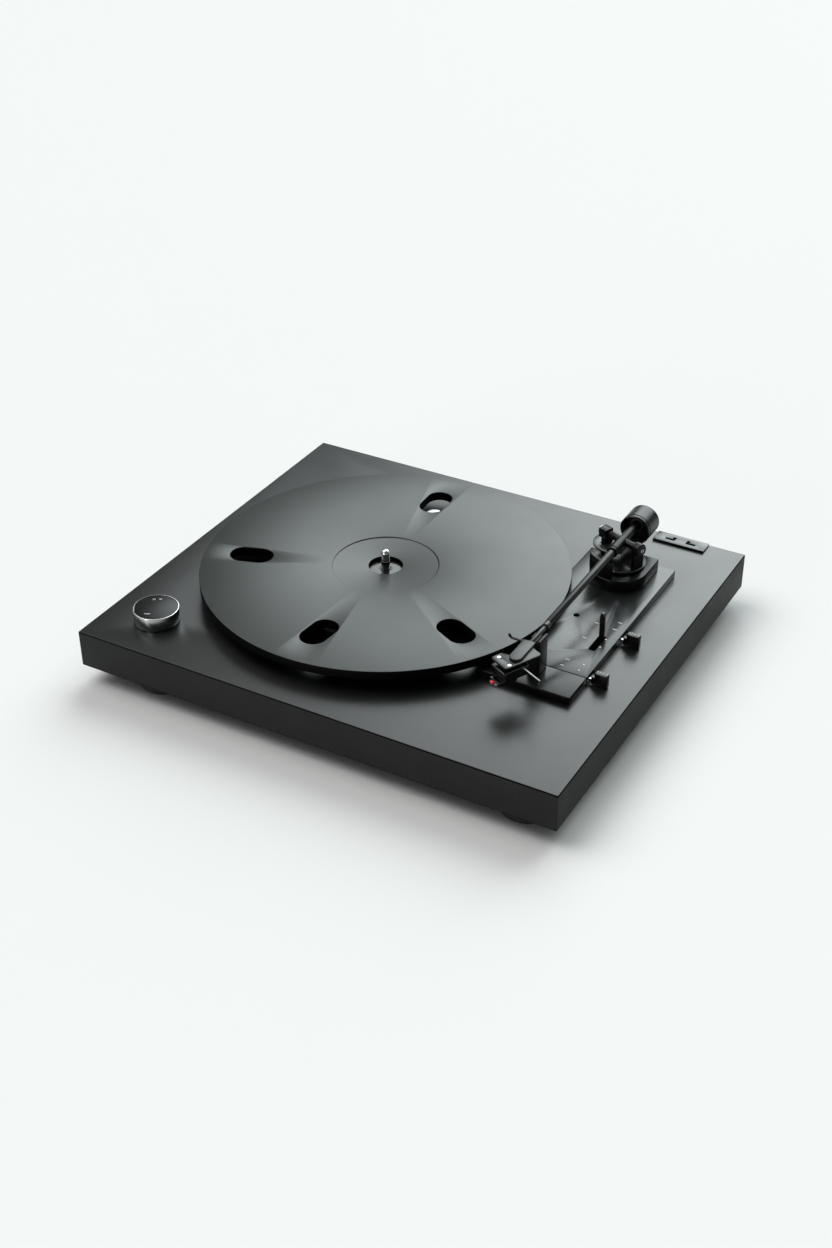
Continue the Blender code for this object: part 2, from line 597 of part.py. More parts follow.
def cue_parts():
    """The cue lever on its bracket, the bar that it pushes, and the lift under the tonearm."""
    lever_axis = joint("cue_lever_axis", (LEVER_X, LEVER_Y, LEVER_PIVOT_Z))
    hub_half = 3.8
    lever = piece("cue_lever", rod((LEVER_X - hub_half, LEVER_Y, LEVER_PIVOT_Z),
                                   (LEVER_X + hub_half, LEVER_Y, LEVER_PIVOT_Z), 4.0, segments=24),
                  "plastic_black", lever_axis)
    add(lever,
        box((LEVER_X - 2.2, LEVER_Y - 1.75, LEVER_PIVOT_Z + 2), (LEVER_X + 2.2, LEVER_Y + 1.75, LEVER_TOP)),
        box((LEVER_X - 1.5, LEVER_Y - 1.5, LEVER_PIVOT_Z - LEVER_TAIL),
            (LEVER_X + 1.5, LEVER_Y + 1.5, LEVER_PIVOT_Z)))
    cut(lever, rod((LEVER_X - 9, LEVER_Y, LEVER_PIVOT_Z),
                   (LEVER_X + 9, LEVER_Y, LEVER_PIVOT_Z), 1.8, segments=24))

    ear_in, ear_out = hub_half + 0.5, hub_half + 2.5
    bracket_low = DECK_Z - 24.5
    bracket = piece("cue_bracket", box((LEVER_X - ear_out, LEVER_Y - 6, bracket_low),
                                       (LEVER_X + ear_out, LEVER_Y + 9, DECK_Z)), "steel")
    cut(bracket, box((LEVER_X - ear_in, LEVER_Y - 12, bracket_low + 1.5),
                     (LEVER_X + ear_in, LEVER_Y + 15, DECK_Z + 5)))
    add(bracket, rod((LEVER_X - ear_out, LEVER_Y, LEVER_PIVOT_Z),
                     (LEVER_X + ear_out, LEVER_Y, LEVER_PIVOT_Z), 1.5, segments=24))
    cut(bracket, box((LEVER_X - ear_out - 1, LEVER_Y + 3, bracket_low + 1.5),
                     (LEVER_X - ear_in + 1, LEVER_Y + 12, LEVER_PIVOT_Z + 4)))

    rod_place = (PIVOT[0], PIVOT[1] - LIFT_R)
    bar_axis = joint("cue_bar_axis", (*rod_place, DECK_Z - 20))
    bar_low, bar_high = LEVER_PIVOT_Z - 7.5, LEVER_PIVOT_Z - 5.5
    foot_y = LEVER_Y + 6.2
    bar = piece("cue_bar", box((rod_place[0] - 4, foot_y + 3, bar_low),
                               (rod_place[0] + 4, rod_place[1] + 6, bar_high)), "steel", bar_axis)
    add(bar,
        box((rod_place[0] - 4, foot_y - 0.5, bar_low), (LEVER_X + 1.4, foot_y + 3.5, bar_high)),
        box((LEVER_X - 1.4, LEVER_Y + 1.5 + GAP, bar_low), (LEVER_X + 1.4, foot_y, bar_high)))
    ramp_base = bar_high
    rise, run = 3.0, 4.9
    ramp = box((-3.0, -run, 0.0), (3.0, run, rise * 2))
    bmesh.ops.bisect_plane(ramp, geom=ramp.verts[:] + ramp.edges[:] + ramp.faces[:], plane_co=(0, 0, rise),
                           plane_no=(0, rise, run), clear_outer=True)
    bmesh.ops.holes_fill(ramp, edges=ramp.edges[:])
    add(bar, moved(ramp, (rod_place[0], rod_place[1] - run / 2 + 2.0, ramp_base - 0.2)))

    lift_axis = joint("cue_lift_axis", (*rod_place, DECK_Z))
    lower, upper = LIFT_R - LIFT_T / 2, LIFT_R + LIFT_T / 2
    wall = arc(PIVOT, upper, -82, -137, 14) + arc(PIVOT, lower, -137, -82, 14)
    lift = piece("cue_lift", outline([wall[::-1]], BASE_TOP + 0.5, LIFT_TOP), "plastic_black", lift_axis)
    add(lift, rod((*rod_place, ramp_base + rise + 1.2), (*rod_place, BASE_TOP + 3), 2.0, segments=24))


# ---------------------------------------------------------------- tonearm

def pivot_base():
    """The tonearm's pedestal: round at the front and cut flat at the rear, with a bronze bush."""
    centre = (PIVOT[0] + 1.0, PIVOT[1] - 6.0)
    radius = 24.0
    rear = PIVOT[1] + 20.0
    loop = arc(centre, radius, 180, 360, 24) + [(centre[0] + radius, rear), (centre[0] - radius, rear)]
    base = piece("pivot_base", outline([loop], PLATE_TOP + GAP, BASE_TOP), "plastic_black")
    bush_r = 6.0
    cut(base,
        disc(PIVOT, bush_r + GAP, PLATE_TOP - 5, BASE_TOP + 5, 32),
        disc((PIVOT[0], PIVOT[1] - LIFT_R), 2.3, PLATE_TOP - 5, BASE_TOP + 5, 24))
    low, high = DECK_Z + 1, BASE_TOP
    profile = [(3.0 + GAP, high), (bush_r, high), (bush_r, low), (3.0 + GAP, low), (3.0 + GAP, high)]
    turned("arm_bush", profile, PIVOT, "bronze", segments=32)


def arm_rest():
    """The post that the parked arm lies on, and its flip-over clip."""
    x0, x1 = 128.5, 138.9
    y0, y1 = -68.5, PLATE_SEAM_Y - 0.8
    seat = DECK_Z + 34.8
    rest = piece("arm_rest", box((x0, y0, PLATE_TOP + GAP), (x1, y1, seat)), "plastic_black")
    add(rest, box((x1 - 2.0, y0, seat - 1), (x1, y1, DECK_Z + 37.0)))
    hinge = (x0 + 0.7, -64.3, DECK_Z + 31.5)
    notch_half = 2.4
    pin_r, barrel_r = 0.6, 1.7
    cut(rest, box((x0 - 1, hinge[1] - notch_half, hinge[2] - 4.6),
                  (x0 + 2.9, hinge[1] + notch_half, seat + 3)))
    add(rest, rod((hinge[0], hinge[1] - notch_half - 0.5, hinge[2]),
                  (hinge[0], hinge[1] + notch_half + 0.5, hinge[2]), pin_r, segments=16))
    axis = joint("rest_clip_axis", hinge)
    curve = bpy.data.curves.new("clip", "CURVE")
    curve.dimensions = "3D"
    curve.bevel_depth = 1.1
    curve.bevel_resolution = 2
    curve.use_fill_caps = True
    bend = 3.4
    reach = 18.0
    corner = (hinge[0] - reach + bend, hinge[2] - 1.0 + bend)
    curl = arc(corner, bend, 270, 180, 6)
    path = [(hinge[0] - 1.0, hinge[2] - 0.6), (hinge[0] - 2.4, hinge[2] - 1.0)] + curl
    spline = curve.splines.new("POLY")
    spline.points.add(len(path) - 1)
    for place, (x, z) in zip(spline.points, path):
        place.co = (x, hinge[1], z, 1.0)
    clip = piece("arm_rest_clip", curve_mesh(curve), "plastic_black", axis)
    barrel_half = notch_half - GAP
    add(clip, rod((hinge[0], hinge[1] - barrel_half, hinge[2]), (hinge[0], hinge[1] + barrel_half, hinge[2]),
                  barrel_r, segments=20))
    cut(clip, rod((hinge[0], hinge[1] - 4, hinge[2]),
                  (hinge[0], hinge[1] + 4, hinge[2]), pin_r + GAP, segments=16))


def along_tilt(distance, height=ARM_Z, back=0.0):
    """A point at a distance from the pivot along the tilt axis, and further back from it."""
    way = direction(TILT_TURN)
    side = direction(TILT_TURN + 90)
    return (PIVOT[0] + way.x * distance + side.x * back, PIVOT[1] + way.y * distance + side.y * back, height)


def swing_parts():
    """The yoke that swings on the pedestal, with its shaft, lever and bearing screws."""
    axis = joint("swing_axis", (*PIVOT, BASE_TOP))
    yoke = piece("yoke", disc(PIVOT, YOKE_R, YOKE_FLOOR, YOKE_FLOOR + 2.7), "arm_black", axis)
    place = (*PIVOT, 0.0)
    floor = YOKE_FLOOR + 1
    add(yoke,
        moved(box((15.2, -5.5, floor), (19.2, 5.5, ARM_Z - 1)), place, TILT_TURN),
        rod(along_tilt(14.8), along_tilt(21.6), 5.4, segments=32),
        moved(box((-19.4, -5.0, floor), (-15.2, 5.0, ARM_Z - 3)), place, TILT_TURN),
        moved(box((-23.0, -4.4, ARM_Z - 4.4), (-14.8, 4.4, ARM_Z + 3.9)), place, TILT_TURN))
    cut(yoke, rod(along_tilt(-30), along_tilt(30), 2.3, segments=24))
    left = piece("bearing_screw_left", rod(along_tilt(-14.4), along_tilt(-24.8), 2.0, segments=24), "steel", axis)
    add(left, rod(along_tilt(-23.0 - GAP), along_tilt(-24.4), 3.3, segments=24))
    piece("bearing_screw_right", rod(along_tilt(14.4), along_tilt(22.4), 2.0, segments=24), "steel", axis)

    shelf_centre = (PIVOT[0] - 10.5, PIVOT[1] + 7.5)
    shelf_r = 17.0
    shelf = piece("yoke_shelf", disc(shelf_centre, shelf_r, DECK_Z + 28.4, DECK_Z + 30.0), "arm_black", axis)
    cut(shelf,
        box((shelf_centre[0] - 25, PIVOT[1] + 12, DECK_Z + 25), (shelf_centre[0] + 25, PIVOT[1] + 40, DECK_Z + 35)),
        box((PIVOT[0] + 2, PIVOT[1] - 20, DECK_Z + 25), (PIVOT[0] + 20, PIVOT[1] + 20, DECK_Z + 35)),
        moved(box((-19.7, -5.3, DECK_Z + 25), (-14.9, 5.3, DECK_Z + 35)), place, TILT_TURN))
    shaft_low = DECK_Z - 16.0
    piece("swing_shaft", disc(PIVOT, 3.0, shaft_low, YOKE_FLOOR - GAP, 32), "steel", axis)
    lever = piece("swing_lever", disc(PIVOT, 6.5, shaft_low, shaft_low + 4, 32), "steel", axis)
    add(lever, moved(box((0, -4, shaft_low), (38, 4, shaft_low + 2.5)), place, 150))
    cut(lever, disc(PIVOT, 3.0 + GAP, shaft_low - 3, shaft_low + 8, 32))
    return axis


def arm_parts(swing):
    """The arm that tilts in the yoke: hub, tube, headshell, finger lift and cartridge."""
    axis = joint("tilt_axis", (*PIVOT, ARM_Z), swing)
    px, py = PIVOT
    hub = piece("arm_hub", rod((px, py - SLEEVE_FRONT, ARM_Z), (px, py, ARM_Z), SLEEVE_R, segments=32),
                "arm_black", axis)
    add(hub,
        rod((px, py - 1, ARM_Z), (px, py + WEIGHT_REAR - 3, ARM_Z), STUB_R, segments=32),
        rod(along_tilt(-13.4), along_tilt(13.4), 3.1, segments=32))
    cut(hub,
        rod((px, py - SLEEVE_FRONT - 5, ARM_Z), (px, py - 9, ARM_Z), TUBE_R_REAR + GAP, segments=32),
        rod(along_tilt(-20), along_tilt(-11.5), 2.3, segments=24),
        rod(along_tilt(20), along_tilt(11.5), 2.3, segments=24))
    piece("arm_tube", rod((px, py - TUBE_FRONT, ARM_Z), (px, py - 10, ARM_Z), TUBE_R_FRONT, TUBE_R_REAR, 32),
          "arm_black", axis)
    headshell(axis)
    cartridge(axis)
    return axis


def head_frame(made):
    """Bring a mesh drawn with the cartridge pointing along -Y to its turned place on the arm."""
    return moved(made, (*HEAD_CENTRE, 0.0), -HEAD_TURN)


def rounded_plate(low, high, radius):
    """The outline of a rectangle with rounded corners."""
    (x0, y0), (x1, y1) = low, high
    corners = (((x1 - radius, y1 - radius), 0), ((x0 + radius, y1 - radius), 90),
               ((x0 + radius, y0 + radius), 180), ((x1 - radius, y0 + radius), 270))
    return [point for centre, start in corners for point in arc(centre, radius, start, start + 90, 5)]


def headshell(axis):
    """A flat neck along the tube, with the turned plate that carries the cartridge under it."""
    px, py = PIVOT
    neck_front, neck_rear = -102.0, -74.5
    plate_low = HEAD_TOP - 1.5
    head = piece("headshell", head_frame(outline([rounded_plate((-9.3, -5.5), (9.3, 27.5), 2.5)],
                                                 plate_low, HEAD_TOP)), "arm_black", axis)
    cut(head, moved(box((-30, -40, plate_low - 3), (-5.9, 40, HEAD_TOP + 5)), (px, neck_rear - 10, 0.0)))
    add(head,
        head_frame(outline([rounded_plate((-9.3, -5.5), (9.3, 9.0), 2.5)], plate_low, HEAD_TOP)),
        box((px - 5.7, neck_front, HEAD_TOP - 0.5), (px + 4.0, neck_rear, NECK_TOP)),
        rod((px, neck_rear - 4, NECK_TOP - 1.6), (px, py - TUBE_FRONT + 2.0, ARM_Z), 1.6, 2.0, 24))
    tube_end = rod((px, py - TUBE_FRONT - GAP, ARM_Z), (px, py - TUBE_FRONT + 8, ARM_Z), 5.0, segments=32)
    cut(head, tube_end)
    for x in (-6.35, 6.35):
        cut(head, head_frame(disc((x, 0.0), 1.4, plate_low - 3, NECK_TOP + 3, 16)))

    lift_low = plate_low - 1.3
    lift = piece("finger_lift", head_frame(box((-2.0, 8.6, lift_low), (30.5, 10.4, lift_low + 0.9))),
                 "brushed", axis)
    add(lift, head_frame(box((29.7, 8.6, lift_low - 3.6), (30.5, 10.4, lift_low + 0.4))))


def cartridge(axis):
    """The cartridge with its screws, its stylus holder and the cantilever."""
    top = HEAD_TOP - 3.2
    body = piece("cartridge_body", head_frame(box((-8.2, -6.0, top - 9.0), (8.2, 17.0, top))),
                 "plastic_black", axis)
    bevel(body, 0.7, 1)
    for name, x in (("cartridge_screw_left", -6.35), ("cartridge_screw_right", 6.35)):
        screw = piece(name, head_frame(disc((x, 0.0), 2.3, HEAD_TOP + GAP, HEAD_TOP + 1.7, 24)), "chrome", axis)
        add(screw, head_frame(disc((x, 0.0), 1.1, HEAD_TOP - 1.4, HEAD_TOP + 0.8, 16)))
    holder_top = top - 9.0 - GAP
    side = [(-11.0, STYLUS_Z + 2.2), (3.0, STYLUS_Z + 1.6), (8.0, STYLUS_Z + 2.4),
            (8.0, holder_top), (-7.0, holder_top)]
    wedge = outline([[(y, z) for y, z in side]], -4.6, 4.6)
    upright = Matrix(((0, 0, 1), (1, 0, 0), (0, 1, 0)))
    bmesh.ops.transform(wedge, matrix=upright.to_4x4(), verts=wedge.verts)
    piece("stylus_holder", head_frame(wedge), "stylus_red", axis)
    tip = (0.0, -10.4)
    cantilever = rod((0.0, -2.0, STYLUS_Z + 1.2), (tip[0], tip[1], STYLUS_Z + 0.6), 0.35, segments=12)
    piece("stylus_cantilever", head_frame(cantilever), "steel", axis)


def counterweight(arm):
    """The weight on the stub: a bell, open at the front, on a bush."""
    px, py = PIVOT
    axis = joint("counterweight_axis", (px, py + WEIGHT_FRONT, ARM_Z), arm)
    low = ARM_Z - WEIGHT_DROP
    front, rear = py + WEIGHT_FRONT, py + WEIGHT_REAR
    weight = piece("counterweight", rod((px, front, low), (px, rear, low), WEIGHT_R, segments=ROUND),
                   "arm_black", axis)
    bevel(weight, 0.8, 2)
    cut(weight,
        rod((px, front - 5, low), (px, front + 8, low), WEIGHT_R - 1.8, segments=ROUND),
        rod((px, front - 5, ARM_Z), (px, rear - 1.5, ARM_Z), 6.3, segments=32))
    bush = piece("counterweight_bush", rod((px, front + 4, ARM_Z), (px, rear - 4, ARM_Z), 6.0, segments=32),
                 "rubber_black", axis)
    cut(bush, rod((px, front - 5, ARM_Z), (px, rear + 5, ARM_Z), STUB_R + GAP, segments=32))


plinth_parts()
cover_hinge_plate()
rear_connections()
platter_parts()
bearing_parts()
cycle_gear()
motor_parts()
speed_knob()
control_plate()
slider("size_selector", SIZE_SLIDER_Y, "size_selector_axis")
slider("start_stop", START_SLIDER_Y, "start_stop_axis")
cue_parts()
pivot_base()
arm_rest()
SWING_AXIS = swing_parts()
ARM_AXIS = arm_parts(SWING_AXIS)
counterweight(ARM_AXIS)
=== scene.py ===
"""Looks of an automatic belt-drive record player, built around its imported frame.

Lengths are in millimetres until a piece is finished, and in metres after that. +X is to the right, +Y to the
rear and +Z up, with the origin in the middle of the footprint on the surface that the feet stand on.
"""
import json
import logging
import math
from collections.abc import Callable
from dataclasses import dataclass, field
from enum import Enum

import bmesh
import bpy
from bmesh.types import BMesh
from bpy.types import Material, NodeSocket, NodeTree, Object, ShaderNode
from mathutils import Matrix, Vector


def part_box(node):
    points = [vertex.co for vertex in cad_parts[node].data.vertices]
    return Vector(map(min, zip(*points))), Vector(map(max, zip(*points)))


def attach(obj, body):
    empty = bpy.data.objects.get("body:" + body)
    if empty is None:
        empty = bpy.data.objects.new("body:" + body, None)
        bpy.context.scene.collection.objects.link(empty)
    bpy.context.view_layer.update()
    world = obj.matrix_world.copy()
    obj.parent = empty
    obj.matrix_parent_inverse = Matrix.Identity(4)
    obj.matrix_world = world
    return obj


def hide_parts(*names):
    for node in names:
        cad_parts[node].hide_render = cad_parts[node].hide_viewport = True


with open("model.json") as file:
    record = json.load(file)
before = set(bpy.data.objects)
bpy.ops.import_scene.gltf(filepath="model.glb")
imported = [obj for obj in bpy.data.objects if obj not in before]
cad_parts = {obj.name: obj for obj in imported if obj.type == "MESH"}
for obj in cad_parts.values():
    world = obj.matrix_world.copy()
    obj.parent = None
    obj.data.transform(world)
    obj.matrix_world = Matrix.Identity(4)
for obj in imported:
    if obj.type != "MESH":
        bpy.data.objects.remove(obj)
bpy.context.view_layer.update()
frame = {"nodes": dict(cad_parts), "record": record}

MM = 0.001
LOG = logging.getLogger("record_player")

Point = tuple[float, float, float]
Flat = tuple[float, float]
Colour = tuple[float, float, float]

FINE = 256                     # segments of the platter
WIDE = 128                     # segments of the knob and the counterweight
ROUND = 96                     # segments of an ordinary round
BAR = 64                       # segments of the arm and the spindle
SMALL = 40                     # segments of a screw or a pin
PAST = 3.0                     # how far a cutter reaches past a face
PATCH = 26.0                   # size of the broad patches in a finish
RELIEF_HEIGHT = 0.2            # height of a relief at full strength
PRINT_HEIGHT = 0.05            # thickness of a printed mark
NARROW_FACE = 1.2              # a face narrower than this is shaded smooth
WIDE_FACE = 6.0                # a bent face narrower than this is shaded smooth too
GENTLE_BEND = (math.radians(0.3), math.radians(10.0))
SHARP_EDGE = math.radians(32)


# ------------------------------------------------------------------------------------------ finishes

class Grain(Enum):
    """How a surface was made, which decides the relief that it shows."""
    SPRAYED = "sprayed"
    MOULDED = "moulded"
    TURNED = "turned"
    BRUSHED = "brushed"
    GROOVED = "grooved"
    PLAIN = "plain"


def add_node(tree: NodeTree, kind: str, values: dict[str | int, object], feeds: dict[str | int, NodeSocket],
             **settings: str) -> ShaderNode:
    """Add a shader node.

    Args:
        tree: the nodes that it joins.
        kind: its type, without the common prefix.
        values: the fixed values of its sockets.
        feeds: the sockets that feed its own.
        settings: its other properties.

    Returns:
        The node.
    """
    made = tree.nodes.new(f"ShaderNode{kind}")
    for name, setting in settings.items():
        setattr(made, name, setting)
    for name, value in values.items():
        made.inputs[name].default_value = value
    for name, source in feeds.items():
        tree.links.new(source, made.inputs[name])
    return made


@dataclass(frozen=True)
class Finish:
    """A material: its colour and gloss, and the fine relief and variation of its surface.

    The slot is the record's material slot, which nothing reads. Grain size is in millimetres. Centre is the
    lathe's axis for a turned surface, in millimetres. Axis is the direction that rings, grooves or brush
    marks follow.
    """
    name: str
    slot: str
    colour: Colour
    roughness: float
    metallic: float = 0.0
    grain: Grain = Grain.SPRAYED
    grain_size: float = 0.6
    relief: float = 0.05
    mottle: float = 0.10
    unevenness: float = 0.05
    specular: float = 0.5
    centre: Point = (0.0, 0.0, 0.0)
    axis: str = "Z"

    def material(self) -> Material:
        """Give the node material, making it the first time.

        Returns:
            The material.
        """
        known = bpy.data.materials.get(self.name)
        if known:
            return known
        made = bpy.data.materials.new(self.name)
        made.use_nodes = True
        tree = made.node_tree
        source = add_node(tree, "TexCoord", {}, {}).outputs["Object"]
        centred = {"Location": [-value * MM for value in self.centre]}
        place = add_node(tree, "Mapping", centred, {"Vector": source}).outputs["Vector"]
        broad = self._noise(tree, place, 1.0 / (PATCH * MM), 3.0)
        fine = self._fine(tree, place)
        height = {"Strength": self.relief, "Distance": RELIEF_HEIGHT * MM}
        bump = add_node(tree, "Bump", height, {"Height": fine})
        shader = tree.nodes["Principled BSDF"]
        shader.inputs["Metallic"].default_value = self.metallic
        shader.inputs["Specular IOR Level"].default_value = self.specular
        tree.links.new(self._tint(tree, broad, fine), shader.inputs["Base Color"])
        tree.links.new(self._gloss(tree, broad), shader.inputs["Roughness"])
        tree.links.new(bump.outputs["Normal"], shader.inputs["Normal"])
        return made

    @staticmethod
    def _noise(tree: NodeTree, place: NodeSocket, scale: float, detail: float) -> NodeSocket:
        """Add a noise texture.

        Args:
            tree: the material's nodes.
            place: the coordinates.
            scale: lumps in a metre.
            detail: octaves.

        Returns:
            The noise's value.
        """
        noise = add_node(tree, "TexNoise", {"Scale": scale, "Detail": detail}, {"Vector": place})
        return noise.outputs["Fac"]

    def _fine(self, tree: NodeTree, place: NodeSocket) -> NodeSocket:
        """Add the fine relief that the grain calls for.

        Args:
            tree: the material's nodes.
            place: the coordinates.

        Returns:
            The relief's height.
        """
        scale = 1.0 / (self.grain_size * MM)
        if self.grain is Grain.TURNED:
            values = {"Scale": scale / 6.0, "Distortion": 0.6, "Detail": 2.0}
            rings = add_node(tree, "TexWave", values, {"Vector": place}, wave_type="RINGS",
                             rings_direction=self.axis)
            return rings.outputs["Fac"]
        if self.grain is Grain.GROOVED:
            values = {"Scale": scale / 6.0, "Distortion": 1.0}
            grooves = add_node(tree, "TexWave", values, {"Vector": place}, bands_direction=self.axis)
            return grooves.outputs["Fac"]
        if self.grain is Grain.BRUSHED:
            along = {"X": (0.03, 1.0, 1.0), "Y": (1.0, 0.03, 1.0), "Z": (1.0, 1.0, 0.03)}
            stretched = add_node(tree, "Mapping", {"Scale": along[self.axis]}, {"Vector": place})
            return self._noise(tree, stretched.outputs["Vector"], scale, 4.0)
        return self._noise(tree, place, scale, 5.0 if self.grain is Grain.SPRAYED else 2.0)

    def _tint(self, tree: NodeTree, broad: NodeSocket, fine: NodeSocket) -> NodeSocket:
        """Vary the colour a little, over broad patches and with the grain.

        Args:
            tree: the material's nodes.
            broad: the broad noise.
            fine: the grain's height.

        Returns:
            The colour.
        """
        part = add_node(tree, "Math", {1: 0.4}, {0: fine}, operation="MULTIPLY").outputs["Value"]
        mean = add_node(tree, "Math", {1: 0.6}, {0: broad, 2: part},
                        operation="MULTIPLY_ADD").outputs["Value"]
        ramp = add_node(tree, "ValToRGB", {}, {"Fac": mean})
        stops = ((0.3, 1.0 - self.mottle), (0.7, 1.0 + self.mottle))
        for stop, (position, share) in zip(ramp.color_ramp.elements, stops):
            stop.position = position
            stop.color = (*(min(1.0, channel * share) for channel in self.colour), 1.0)
        return ramp.outputs["Color"]

    def _gloss(self, tree: NodeTree, broad: NodeSocket) -> NodeSocket:
        """Vary the roughness over broad patches, as handling and dust do.

        Args:
            tree: the material's nodes.
            broad: the broad noise.

        Returns:
            The roughness.
        """
        values = {"From Min": 0.3, "From Max": 0.7, "To Min": max(0.02, self.roughness - self.unevenness),
                  "To Max": min(1.0, self.roughness + self.unevenness)}
        return add_node(tree, "MapRange", values, {"Value": broad}).outputs["Result"]


@dataclass(frozen=True)
class Span:
    """The box of a frame node at rest, in millimetres."""
    low: Vector
    high: Vector

    @classmethod
    def of(cls, node: str) -> "Span":
        """Read a node's box from the frame.

        Args:
            node: the frame node's name.

        Returns:
            Its box.
        """
        low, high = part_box(node)
        return cls(Vector(low) / MM, Vector(high) / MM)

    @property
    def centre(self) -> Vector:
        """The middle of the box."""
        return (self.low + self.high) / 2

    @property
    def size(self) -> Vector:
        """The box's lengths along X, Y and Z."""
        return self.high - self.low


def joint_place(name: str) -> Vector:
    """Find where a joint's axis is.

    Args:
        name: the joint's name.

    Returns:
        A point on its axis, in millimetres.
    """
    entry = next(item for item in frame["record"]["behaviour"]["joints"] if item["name"] == name)
    return Vector(entry["pos_m"]) / MM


SPINDLE = joint_place("platter_spin")
PIVOT = joint_place("tonearm_tilt")
LIFT_ROD = PIVOT - Vector((0.0, 26.0, 0.0))
TILT_TURN = -20.5              # how far the tilt axis turns from +X, in degrees
KNOB = joint_place("speed_knob_turn")
DECK = Span.of("plinth").high.z

PLINTH_BLACK = Finish("plinth_satin_black", "plinth_black", (0.0030, 0.0032, 0.0033), 0.32, grain_size=0.35,
                      relief=0.08, mottle=0.14, unevenness=0.015, specular=0.44)
SIDE_BLACK = Finish("plinth_textured_black", "plinth_black", (0.0085, 0.0090, 0.0087), 0.60, grain_size=1.1,
                    relief=0.9, mottle=0.55, unevenness=0.04, specular=0.22)
# near-black finish with almost no reflection: painted shade on the plinth's rounded edges and on the hinge
# slots' floors
PAINTED_SHADE_BLACK = Finish("painted_shade_black", "plinth_black", (0.0010, 0.0011, 0.0011), 0.60, relief=0.05,
                    mottle=0.1, specular=0.04)
COVER_BLACK = Finish("cover_matt_black", "cover_black", (0.030, 0.030, 0.031), 0.62, grain=Grain.MOULDED,
                     grain_size=0.9, relief=0.18)
FOOT_RUBBER = Finish("foot_rubber", "rubber_black", (0.012, 0.012, 0.012), 0.72, grain=Grain.MOULDED,
                     grain_size=0.5, relief=0.12)
PLATTER_GREY = Finish("platter_satin_grey", "platter_grey", (0.0085, 0.0125, 0.0115), 0.34, grain_size=0.4,
                      relief=0.05, mottle=0.06, unevenness=0.015, specular=0.40)
# near-black copy of the platter's finish with almost no reflection: painted shade on the faces that do not
# face up
PLATTER_PAINTED_SHADE = Finish("platter_painted_shade", "platter_grey", (0.0012, 0.0013, 0.0013), 0.45, grain_size=0.4,
                      relief=0.05, mottle=0.1, specular=0.05)
PLATE_GREY = Finish("plate_satin_grey", "plate_grey", (0.0060, 0.0078, 0.0074), 0.28, grain_size=0.4,
                    relief=0.05, mottle=0.06, unevenness=0.015, specular=0.42)
GLOSS_BLACK = Finish("semi_gloss_black", "gloss_black", (0.0022, 0.0022, 0.0024), 0.24, grain=Grain.MOULDED,
                     grain_size=1.2, relief=0.05)
BLOCK_BLACK = Finish("end_block_black", "gloss_black", (0.0022, 0.0022, 0.0024), 0.26, grain=Grain.MOULDED,
                     grain_size=0.8, relief=0.05, specular=0.20)
MOULDED_BLACK = Finish("moulded_black", "plastic_black", (0.0030, 0.0030, 0.0032), 0.33, grain=Grain.MOULDED,
                       grain_size=0.5, relief=0.08, specular=0.32)
ARM_BLACK = Finish("arm_satin_black", "arm_black", (0.0042, 0.0048, 0.0049), 0.33, grain_size=0.25,
                   relief=0.05, specular=0.36)
YOKE_BLACK = Finish("yoke_satin_black", "arm_black", (0.0022, 0.0024, 0.0024), 0.30, grain_size=0.25,
                    relief=0.05, specular=0.16)
BASE_BLACK = Finish("pedestal_black", "plastic_black", (0.0022, 0.0023, 0.0024), 0.28, grain=Grain.MOULDED,
                    grain_size=0.5, relief=0.05, specular=0.16)
CHROME = Finish("chrome", "chrome", (0.62, 0.62, 0.63), 0.12, metallic=1.0, grain=Grain.PLAIN, grain_size=2.0,
                relief=0.01, mottle=0.03, unevenness=0.03)
KNOB_METAL = Finish("knob_turned_metal", "chrome", (0.40, 0.41, 0.41), 0.26, metallic=1.0,
                    grain=Grain.GROOVED, grain_size=0.4, relief=0.06, mottle=0.04, unevenness=0.02)
LIFT_METAL = Finish("lift_brushed_metal", "brushed", (0.13, 0.13, 0.135), 0.36, metallic=1.0,
                    grain=Grain.BRUSHED, grain_size=0.2, relief=0.05, axis="X")
STEEL = Finish("machined_steel", "steel", (0.36, 0.36, 0.37), 0.32, metallic=1.0, grain=Grain.BRUSHED,
               grain_size=0.3, relief=0.06, axis="X")
BEARING_METAL = Finish("bearing_turned_metal", "brushed", (0.50, 0.50, 0.50), 0.30, metallic=1.0,
                       grain=Grain.TURNED, grain_size=0.5, relief=0.08, centre=tuple(SPINDLE))
BRONZE = Finish("sintered_bronze", "bronze", (0.42, 0.27, 0.12), 0.45, metallic=1.0, grain_size=0.3,
                relief=0.15)
BELT = Finish("belt_rubber", "belt_rubber", (0.016, 0.016, 0.016), 0.6, grain=Grain.MOULDED, relief=0.05)
GEAR = Finish("gear_nylon", "gear_white", (0.70, 0.69, 0.64), 0.45, grain=Grain.MOULDED, relief=0.05,
              mottle=0.04)
BOARD = Finish("board_green", "board_green", (0.02, 0.12, 0.05), 0.35, grain=Grain.MOULDED, grain_size=3.0,
               relief=0.03)
STYLUS_RED = Finish("stylus_red", "stylus_red", (0.16, 0.008, 0.008), 0.30, grain=Grain.MOULDED, relief=0.04)
PRINT = Finish("printed_marks", "plate_grey", (0.55, 0.56, 0.56), 0.55, grain=Grain.PLAIN, relief=0.02)
BRIGHT_EDGE = Finish("bright_edge_metal", "brushed", (0.10, 0.105, 0.105), 0.30, metallic=1.0,
                     grain=Grain.TURNED, grain_size=0.4, relief=0.05, centre=tuple(PIVOT))
SIGNAL_WHITE = Finish("signal_white", "gear_white", (0.75, 0.75, 0.73), 0.40, grain=Grain.MOULDED,
                      relief=0.03)
SIGNAL_RED = Finish("signal_red", "stylus_red", (0.50, 0.03, 0.03), 0.35, grain=Grain.MOULDED, relief=0.03)

